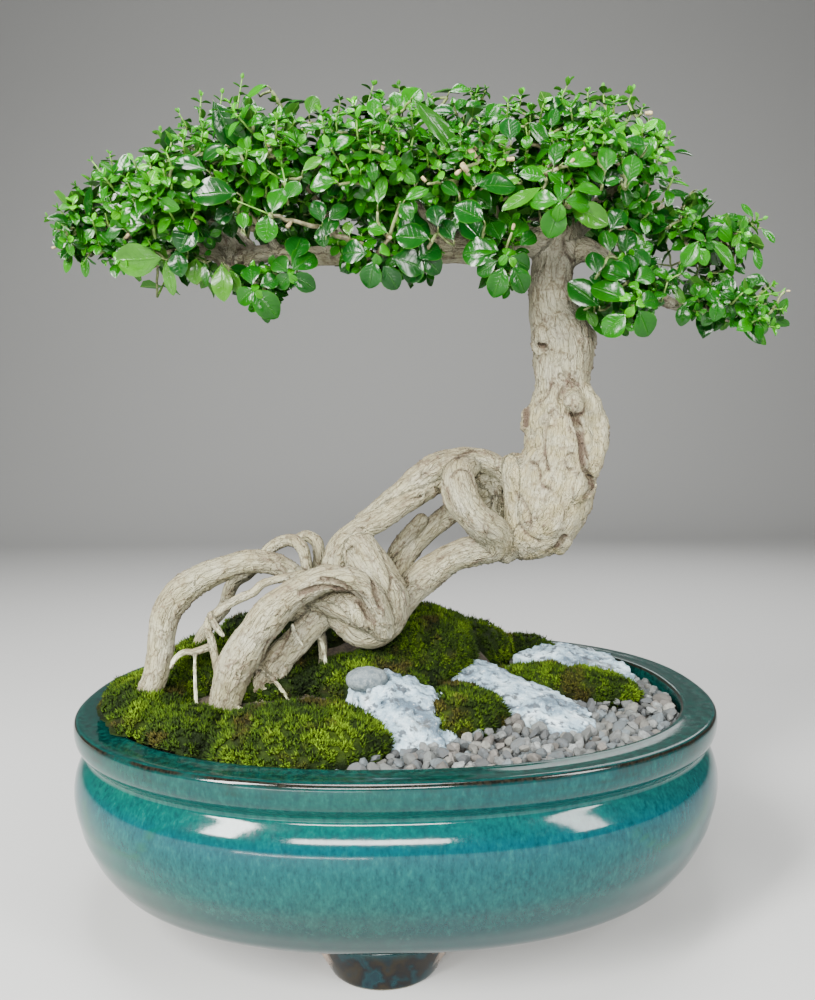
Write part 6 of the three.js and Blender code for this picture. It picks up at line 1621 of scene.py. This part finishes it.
# the rest of the crown: shoots over the pads' outsides, kept clear of each other
taken = np.array(placed_3d)
n3 = 0
order = rng.permutation(len(pad_names))
for k in order:
    r, c = pad_r[k], pad_c[k]
    u = unit(rng.normal(size=(500, 3)))
    for d0 in u:
        p = c + d0 * r * rng.uniform(0.70, 0.88)
        n = unit(d0 / r)
        m = pad_metric(p[None])[0]
        m[k] = 9
        if m.min() < 0.62 or wood_field.at(p) < 1.5:
            continue
        gap = 15.5 * 1 if p[1] < 20 or n[2] > 0.3 else 18.0 * 1
        if (np.linalg.norm(taken - p, axis=1) < gap).any():
            continue
        pp = project(p[None])
        if edge_distance(OUTLINE, pp)[0] < 7 or not free_of_windows(pp, 7)[0]:
            continue
        if p[1] < 0 and any(edge_distance(w, pp)[0] > -3 for w in BARE):
            continue
        d = unit(n * 0.75 + np.array([0, 0, 0.55]) + rng.normal(size=3) * 0.28)
        if project((p + d * 4)[None]) is not None and edge_distance(OUTLINE, project((p + d * 8)[None]))[0] < 2:
            d = unit(d * [1, 1, 0.2] + [0, 0.4, 0])
        far = p[1] > 10
        shoot(p, d, 12.5 * math.exp(rng.normal() * 0.15), 3 if far or n[2] < -0.2 else 4, age=0.42 + rng.normal() * 0.15 - 0.25 * (n[2] < -0.2), pad=int(k), fine=not far and n[2] > -0.3)
        taken = np.vstack([taken, p])
        n3 += 1
# old dark leaves on the twigs inside
n5 = 0
for k in range(len(pad_names)):
    r, c = pad_r[k], pad_c[k]
    for _ in range(int(r.prod() ** (2 / 3) * (0.048))):
        d0 = unit(rng.normal(size=3))
        p = c + d0 * r * rng.uniform(0.25, 0.62)
        pp = project(p[None])
        if wood_field.at(p) < 1.0 or edge_distance(OUTLINE, pp)[0] < 20 or not free_of_windows(pp, 12)[0]:
            continue
        if p[1] < 5 and any(edge_distance(w, pp)[0] > -5 for w in BARE):
            continue
        ax = unit(d0 * 0.6 + rng.normal(size=3) * 0.5 + np.array([0, 0, 0.1]))
        nm = unit(d0 + np.array([0, -0.25, 0.5]) + rng.normal(size=3) * 0.5)
        nm = unit(nm - (nm @ ax) * ax)
        ln = rng.uniform(11, 16)
        leaves.add(p, ax, nm, ln, ln * 0.62, 0.35, 0.2, leaf_colour(0.05, 0.25) * rng.uniform(0.6, 1.0), 0, k, rng.uniform(0, 6.28))
        bases.append((p, k))
        n5 += 1
print("shoots", len(ROSETTES) + len(SPRIGS), n1, n2, n4, n3, "inner leaves", n5, "leaves", len(leaves.rows))

# ---- leaf blades
rows_ = np.array(leaves.rows)
FINE_T = np.array([0.10, 0.27, 0.48, 0.70, 0.89])
FINE_W = np.array([0.10, 0.66, 1.00, 0.92, 0.52])
HERO_T = np.array([0.05, 0.14, 0.28, 0.44, 0.60, 0.76, 0.88, 0.955])
HERO_W = np.array([0.12, 0.40, 0.76, 0.97, 1.00, 0.84, 0.56, 0.30])
PLAIN_T = np.array([0.16, 0.48, 0.80])
PLAIN_W = np.array([0.36, 1.00, 0.78])


def blades(r, fine):
    """Closed blades: an upper side of four strips (two if plain) and a lower side of two."""
    B, A, N = r[:, 0:3], r[:, 3:6], r[:, 6:9]
    ln, wd, curl, cup, wave = r[:, 9], r[:, 10], r[:, 11], r[:, 12], r[:, 18]
    S = np.cross(A, N)
    T, W = ((PLAIN_T, PLAIN_W), (FINE_T, FINE_W), (HERO_T, HERO_W))[fine]
    cols = [-1, -0.5, 0, 0.5, 1] if fine else [-1, 0, 1]
    n = len(r)

    def point(t, w, c, lift):
        th = curl * t
        y = ln * np.where(curl > 1e-3, np.sin(th) / np.maximum(curl, 1e-3), t)
        z = -ln * np.where(curl > 1e-3, (1 - np.cos(th)) / np.maximum(curl, 1e-3), 0)
        half = wd * w / 2
        z = z + cup * half * abs(c) ** 1.4 * 1.1 - 0.07 * wd * w * math.sin(math.pi * abs(c)) * -1 + lift
        z = z + 0.035 * ln * np.sin(5.0 * t + wave) * abs(c)
        return B + A * y[:, None] + S * (c * half)[:, None] + N * z[:, None]

    per = len(cols) + 1
    verts = np.empty((n, 2 + per * len(T), 3))
    uv = np.empty((2 + per * len(T), 3))
    verts[:, 0] = point(0.0, 0, 0, 0)
    verts[:, 1] = point(1.0, 0, 0, 0)
    uv[0], uv[1] = (0, 0, 0), (1, 0, 0)
    margin = np.zeros(2 + per * len(T), bool)
    margin[:2] = True
    for i, (t, w) in enumerate(zip(T, W)):
        for j, c in enumerate(cols):
            verts[:, 2 + i * per + j] = point(t, w, c, 0.0 if c else -0.028 * wd * w)
            uv[2 + i * per + j] = (t, c, 0)
            margin[2 + i * per + j] = abs(c) == 1
        verts[:, 2 + i * per + per - 1] = point(t, w, 0, -0.30 - 0.028 * wd * w)
        uv[2 + i * per + per - 1] = (t, 0, 1)
    tri, quad, tri_under, quad_under = [], [], [], []
    nc = len(cols)
    for j in range(nc - 1):
        tri += [(0, 2 + j, 2 + j + 1)]
        e = 2 + (len(T) - 1) * per
        tri += [(1, e + j + 1, e + j)]
        for i in range(len(T) - 1):
            a, b = 2 + i * per + j, 2 + (i + 1) * per + j
            quad += [(a, b, b + 1, a + 1)]
    for side in (0, 1):
        def col(i, side=side, which=0):
            first, second = (0, per - 1) if side == 0 else (per - 1, nc - 1)
            return 2 + i * per + (first if which == 0 else second)
        tri_under += [(0, col(0, which=1), col(0, which=0))]
        e = len(T) - 1
        tri_under += [(1, col(e, which=0), col(e, which=1))]
        for i in range(len(T) - 1):
            quad_under += [(col(i, which=0), col(i, which=1), col(i + 1, which=1), col(i + 1, which=0))]
    return verts, uv, margin, tri, quad, tri_under, quad_under


sh = Shader("leaf")
tint = sh.attr("leaf_colour", "Color")
under = sh.attr("underside")
uvw = sh.n("SeparateXYZ", {0: sh.attr("blade", "Vector")})
along_, across_ = uvw.outputs[0], uvw.outputs[1]
absx = sh.math("ABSOLUTE", across_)
pos = sh.place()
mottled = sh.noise(pos, 260.0, 3, 0.5)
vein = sh.math("SINE", sh.math("ADD", sh.math("MULTIPLY", along_, 46.0), sh.math("MULTIPLY", absx, -9.0)))
veins = sh.math("MULTIPLY", sh.fit(vein, 0.80, 1.0), sh.fit(absx, 0.95, 0.2))
mid = sh.fit(absx, 0.10, 0.02)
top = sh.mix(sh.fit(mottled, 0.35, 0.65), sh.mix(0.22, tint, (0.005, 0.03, 0.01)), tint)
top = sh.mix(sh.math("MULTIPLY", mid, 0.20), top, sh.mix(0.55, tint, (0.12, 0.34, 0.03)))
top = sh.mix(sh.math("MULTIPLY", veins, 0.10), top, (0.04, 0.22, 0.02))
top = sh.mix(sh.fit(absx, 0.92, 1.0, 0, 0.30), top, (0.12, 0.36, 0.015))
low = sh.mix(0.50, tint, (0.11, 0.30, 0.06))
low = sh.mix(sh.math("MULTIPLY", mid, 0.7), low, (0.30, 0.46, 0.18))
low = sh.mix(sh.math("MULTIPLY", veins, 0.25), low, (0.26, 0.42, 0.16))
both = sh.mix(under, top, low)
leaf_material = sh.finish(level=(0.43, 0.67, 0.18), Base_Color=both, Roughness=sh.mix(under, sh.mix(sh.fit(mottled, 0.3, 0.7), (0.12,) * 3, (0.23,) * 3), (0.55,) * 3), Specular_IOR_Level=0.31,
                          Normal=sh.bump(sh.math("ADD", sh.math("MULTIPLY", mid, -1.0), sh.math("ADD", sh.math("MULTIPLY", veins, -0.35), sh.math("MULTIPLY", mottled, 0.5))), 0.00035, 0.55))
tr = sh.n("BsdfTranslucent", {"Color": sh.mix(0.30, both, (0.12, 0.40, 0.008))})
mx = sh.n("MixShader", {0: 0.12, 1: sh.bsdf.outputs[0], 2: tr.outputs[0]})
sh.t.links.new(mx.outputs[0], sh.out.inputs[0])

sh = Shader("stem")
green = sh.attr("green")
pos = sh.place()
sn = sh.noise(pos, 500.0, 4, 0.6)
woody = sh.ramp(sn, [(0.30, (0.045, 0.032, 0.020)), (0.50, (0.14, 0.11, 0.065)), (0.70, (0.30, 0.25, 0.17))])
fresh = sh.mix(sh.fit(sn, 0.4, 0.6), (0.055, 0.17, 0.010), (0.12, 0.28, 0.018))
stem_material = sh.finish(Base_Color=sh.mix(green, woody, fresh), Roughness=0.6, Normal=sh.bump(sn, 0.0004, 0.5))
sh = Shader("cut_end")
pos = sh.place()
cut_material = sh.finish(Base_Color=sh.ramp(sh.noise(pos, 900.0, 3, 0.6), [(0.3, (0.19, 0.13, 0.06)), (0.55, (0.38, 0.30, 0.15)), (0.8, (0.54, 0.45, 0.27))]), Roughness=0.8)

# ---- twigs: every shoot is joined to the nearest wood or to a twig that is nearer the wood
skeleton = []
for name, p in LINES.items():
    if name.startswith(("limb", "branch")):
        skeleton.append(p[::3])
skeleton = np.concatenate(skeleton)
node_p = np.array([b for b, _ in bases])
node_pad = np.array([k for _, k in bases])
dist_wood = np.array([np.min(np.linalg.norm(skeleton[:, :3] - p, axis=1)) for p in node_p])
parent = np.full(len(node_p), -1)
anchor = np.zeros((len(node_p), 4))
order = np.argsort(dist_wood)
for rank, i in enumerate(order):
    p = node_p[i]
    dw = np.linalg.norm(skeleton[:, :3] - p, axis=1) - skeleton[:, 3] * 0.5
    j = int(np.argmin(dw))
    best, choice = dw[j] * 1.0, -1
    anchor[i] = skeleton[j]
    prev = order[:rank]
    if len(prev):
        d = np.linalg.norm(node_p[prev] - p, axis=1)
        cost = d + 0.35 * dist_wood[prev]
        m = int(np.argmin(cost))
        if cost[m] < best and d[m] > 0.5:
            best, choice = cost[m], int(prev[m])
    parent[i] = choice
load_ = np.ones(len(node_p))
for i in order[::-1]:
    if parent[i] >= 0:
        load_[parent[i]] += load_[i]


def tube(points, sides):
    """A closed tube along points (n, 4)."""
    p = points[:, :3]
    t, n, b = frames_of(p)
    a = np.arange(sides) * 2 * np.pi / sides
    ring = p[:, None] + (n[:, None] * np.cos(a)[None, :, None] + b[:, None] * np.sin(a)[None, :, None]) * points[:, 3][:, None, None]
    v = ring.reshape(-1, 3)
    i = np.arange(sides)
    j = (i + 1) % sides
    q = np.concatenate([np.stack([k * sides + i, k * sides + j, (k + 1) * sides + j, (k + 1) * sides + i], 1) for k in range(len(p) - 1)])
    e = (len(p) - 1) * sides
    caps = [np.stack([np.zeros(sides - 2, int), i[2:], i[1:-1]], 1), np.stack([np.full(sides - 2, e), e + i[1:-1], e + i[2:]], 1)]
    return v, q, np.concatenate(caps)


twigs = []
for i in range(len(node_p)):
    a = anchor[i, :3] if parent[i] < 0 else node_p[parent[i]]
    b = node_p[i]
    gap = np.linalg.norm(b - a)
    if gap < 0.6:
        continue
    r1 = 0.45 * load_[i] ** 0.42 + 0.12
    r0 = min(r1 * 1.15 + 0.1, 2.6)
    steps = 3 if gap < 14 else 4
    f = np.linspace(0, 1, steps + 1)[:, None]
    wob = rng.normal(size=(steps + 1, 3)) * 0.035 * gap
    wob[0] = wob[-1] = 0
    line = a + (b - a) * f + wob
    twigs.append((np.column_stack([line, np.linspace(r0, r1, steps + 1)]), 0.12 if load_[i] > 2.5 else 0.4, node_pad[i]))

for k, name in enumerate(pad_names):
    g = Gather()
    kinds = []
    for fine in (2, 1, 0):
        r = rows_[(rows_[:, 17] == k) & (rows_[:, 16].astype(int) == fine)]
        if not len(r):
            continue
        verts, uv, margin, tri, quad, tri_u, quad_u = blades(r, fine)
        nv = verts.shape[1]
        off = (np.arange(len(r)) * nv)[:, None, None]
        col = np.concatenate([r[:, 13:16], np.ones((len(r), 1))], 1)
        start = g.n
        g.v.append(verts.reshape(-1, 3))
        g.n += len(r) * nv
        for faces, down in ((tri, 0), (quad, 0), (tri_u, 1), (quad_u, 1)):
            arr = (np.array(faces)[None] + off).reshape(-1, len(faces[0])) + start
            kk = arr.shape[1]
            g.f.setdefault(kk, []).append(arr)
            g.fc.setdefault("leaf_colour", {}).setdefault(kk, []).append(np.repeat(col, len(faces), 0))
            g.fc.setdefault("underside", {}).setdefault(kk, []).append(np.full((len(arr), 1), float(down)))
            g.fc.setdefault("which", {}).setdefault(kk, []).append(np.zeros((len(arr), 1)))
        g.pt.setdefault("blade", []).append(np.tile(uv, (len(r), 1)))
        g.pt.setdefault("margin", []).append(np.tile(margin.astype(float), len(r)))
        g.pt.setdefault("green", []).append(np.zeros(len(r) * nv))
    for sides, group in ((5, stems), (5, twigs)):
        for pts, green_, pad in group:
            if pad != k:
                continue
            v, q, t = tube(pts, sides)
            g.add(v, [q, t], pt={"blade": np.zeros((len(v), 3)), "margin": np.zeros(len(v)), "green": np.full(len(v), green_)},
                  fc={"leaf_colour": [0.1, 0.1, 0.1, 1], "underside": [0.0], "which": [1.0]})
    for c4, ax, rad, pad in STUBS_3D:
        rad = rad * 0.68
        if pad != k:
            continue
        line = np.array([c4 - ax * rad * 3.4, c4 - ax * rad * 1.2, c4, c4 + ax * rad * 0.30])
        v, q, t = tube(np.column_stack([line, np.array([0.85, 1.08, 0.98, 0.60]) * rad]), 9)
        g.add(v, [q, t], pt={"blade": np.zeros((len(v), 3)), "margin": np.zeros(len(v)), "green": np.zeros(len(v))}, fc={"leaf_colour": [0.1, 0.1, 0.1, 1], "underside": [0.0], "which": [2.0]})
    if not g.n:
        continue
    v, f, pt, fc = g.parts()
    margin = pt.pop("margin") > 0.5
    which = fc.pop("which")[:, 0].astype(int)
    fc["underside"] = fc["underside"][:, 0]
    # Gather keeps attributes in the order of the faces: triangles, then quads
    o = add_mesh(name.replace("foliage_", "leaves_"), v, f, [leaf_material, stem_material, cut_material], points=pt, per_face=fc, index=which, sharp=margin)
    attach(o, "root")
    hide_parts(name)

# ------------------------------------------------------------------ floor, lights and camera
def plain(name, colour, rough):
    s = Shader(name)
    return s.finish(Base_Color=(*colour, 1), Roughness=rough)


step = 64
sweep = [(-3.0, 0.0), (1.6, 0.0)] + [(1.6 + 0.9 * math.sin(t), 0.9 * (1 - math.cos(t))) for t in np.linspace(0, math.pi / 2, 13)[1:]] + [(2.5, 4.0)]
bv = [(x, y, z) for y, z in sweep for x in (-5.0, 5.0)]
bf = [(2 * i, 2 * i + 1, 2 * i + 3, 2 * i + 2) for i in range(len(sweep) - 1)]
me = bpy.data.meshes.new("studio_floor")
me.from_pydata(bv, [], bf)
for p in me.polygons:
    p.use_smooth = True
me.materials.append(plain("floor", (0.35, 0.35, 0.346), 0.9))
floor_ = bpy.data.objects.new("studio_floor", me)
bpy.context.scene.collection.objects.link(floor_)


def area(name, place, target, size, power, colour=(1, 1, 1)):
    l = bpy.data.lights.new(name, "AREA")
    l.shape, l.size, l.size_y, l.energy, l.color = "RECTANGLE", size[0], size[1], power, colour
    o = bpy.data.objects.new(name, l)
    o.location = place
    o.rotation_euler = (Vector(target) - Vector(place)).to_track_quat("-Z", "Y").to_euler()
    bpy.context.scene.collection.objects.link(o)


area("key_left", (-0.86, -0.84, 0.90), (0, 0, 0.20), (0.26, 0.95), 74.0, (1.0, 1.0, 0.965))
area("key_right", (0.90, -0.82, 0.72), (0, 0, 0.18), (0.24, 0.95), 25.0, (1.0, 1.0, 0.975))
area("front", (-0.16, -1.30, 0.62), (0, 0, 0.27), (0.80, 0.22), 39.0, (1.0, 1.0, 0.965))
area("low_strip", (-0.17, -0.43, 0.035), (-0.03, -0.12, 0.07), (0.26, 0.006), 0.2)
area("top", (-0.1, -0.10, 1.45), (0, 0, 0.15), (0.55, 0.45), 26.0)
area("rim_back", (0.5, 1.1, 0.9), (0, 0, 0.25), (0.6, 0.6), 7.0)
world = bpy.data.worlds.new("studio")
world.use_nodes = True
world.node_tree.nodes["Background"].inputs[0].default_value = (0.86, 0.88, 0.90, 1)
world.node_tree.nodes["Background"].inputs[1].default_value = 0.15
bpy.context.scene.world = world

cam = bpy.data.cameras.new("camera")
cam.sensor_width = 36.0
cam.lens = FOCAL * 36.0 / 1000.0
cam.clip_start, cam.clip_end = 0.01, 50
camera = bpy.data.objects.new("camera", cam)
bpy.context.scene.collection.objects.link(camera)
r_, u_, b_ = RIGHT, UP, -FORWARD
e = row(EYE)
camera.matrix_world = Matrix(((r_[0], u_[0], b_[0], e[0]), (r_[1], u_[1], b_[1], e[1]), (r_[2], u_[2], b_[2], e[2]), (0, 0, 0, 1)))
bpy.context.scene.camera = camera

print("triangles", sum(made_triangles.values()), made_triangles)
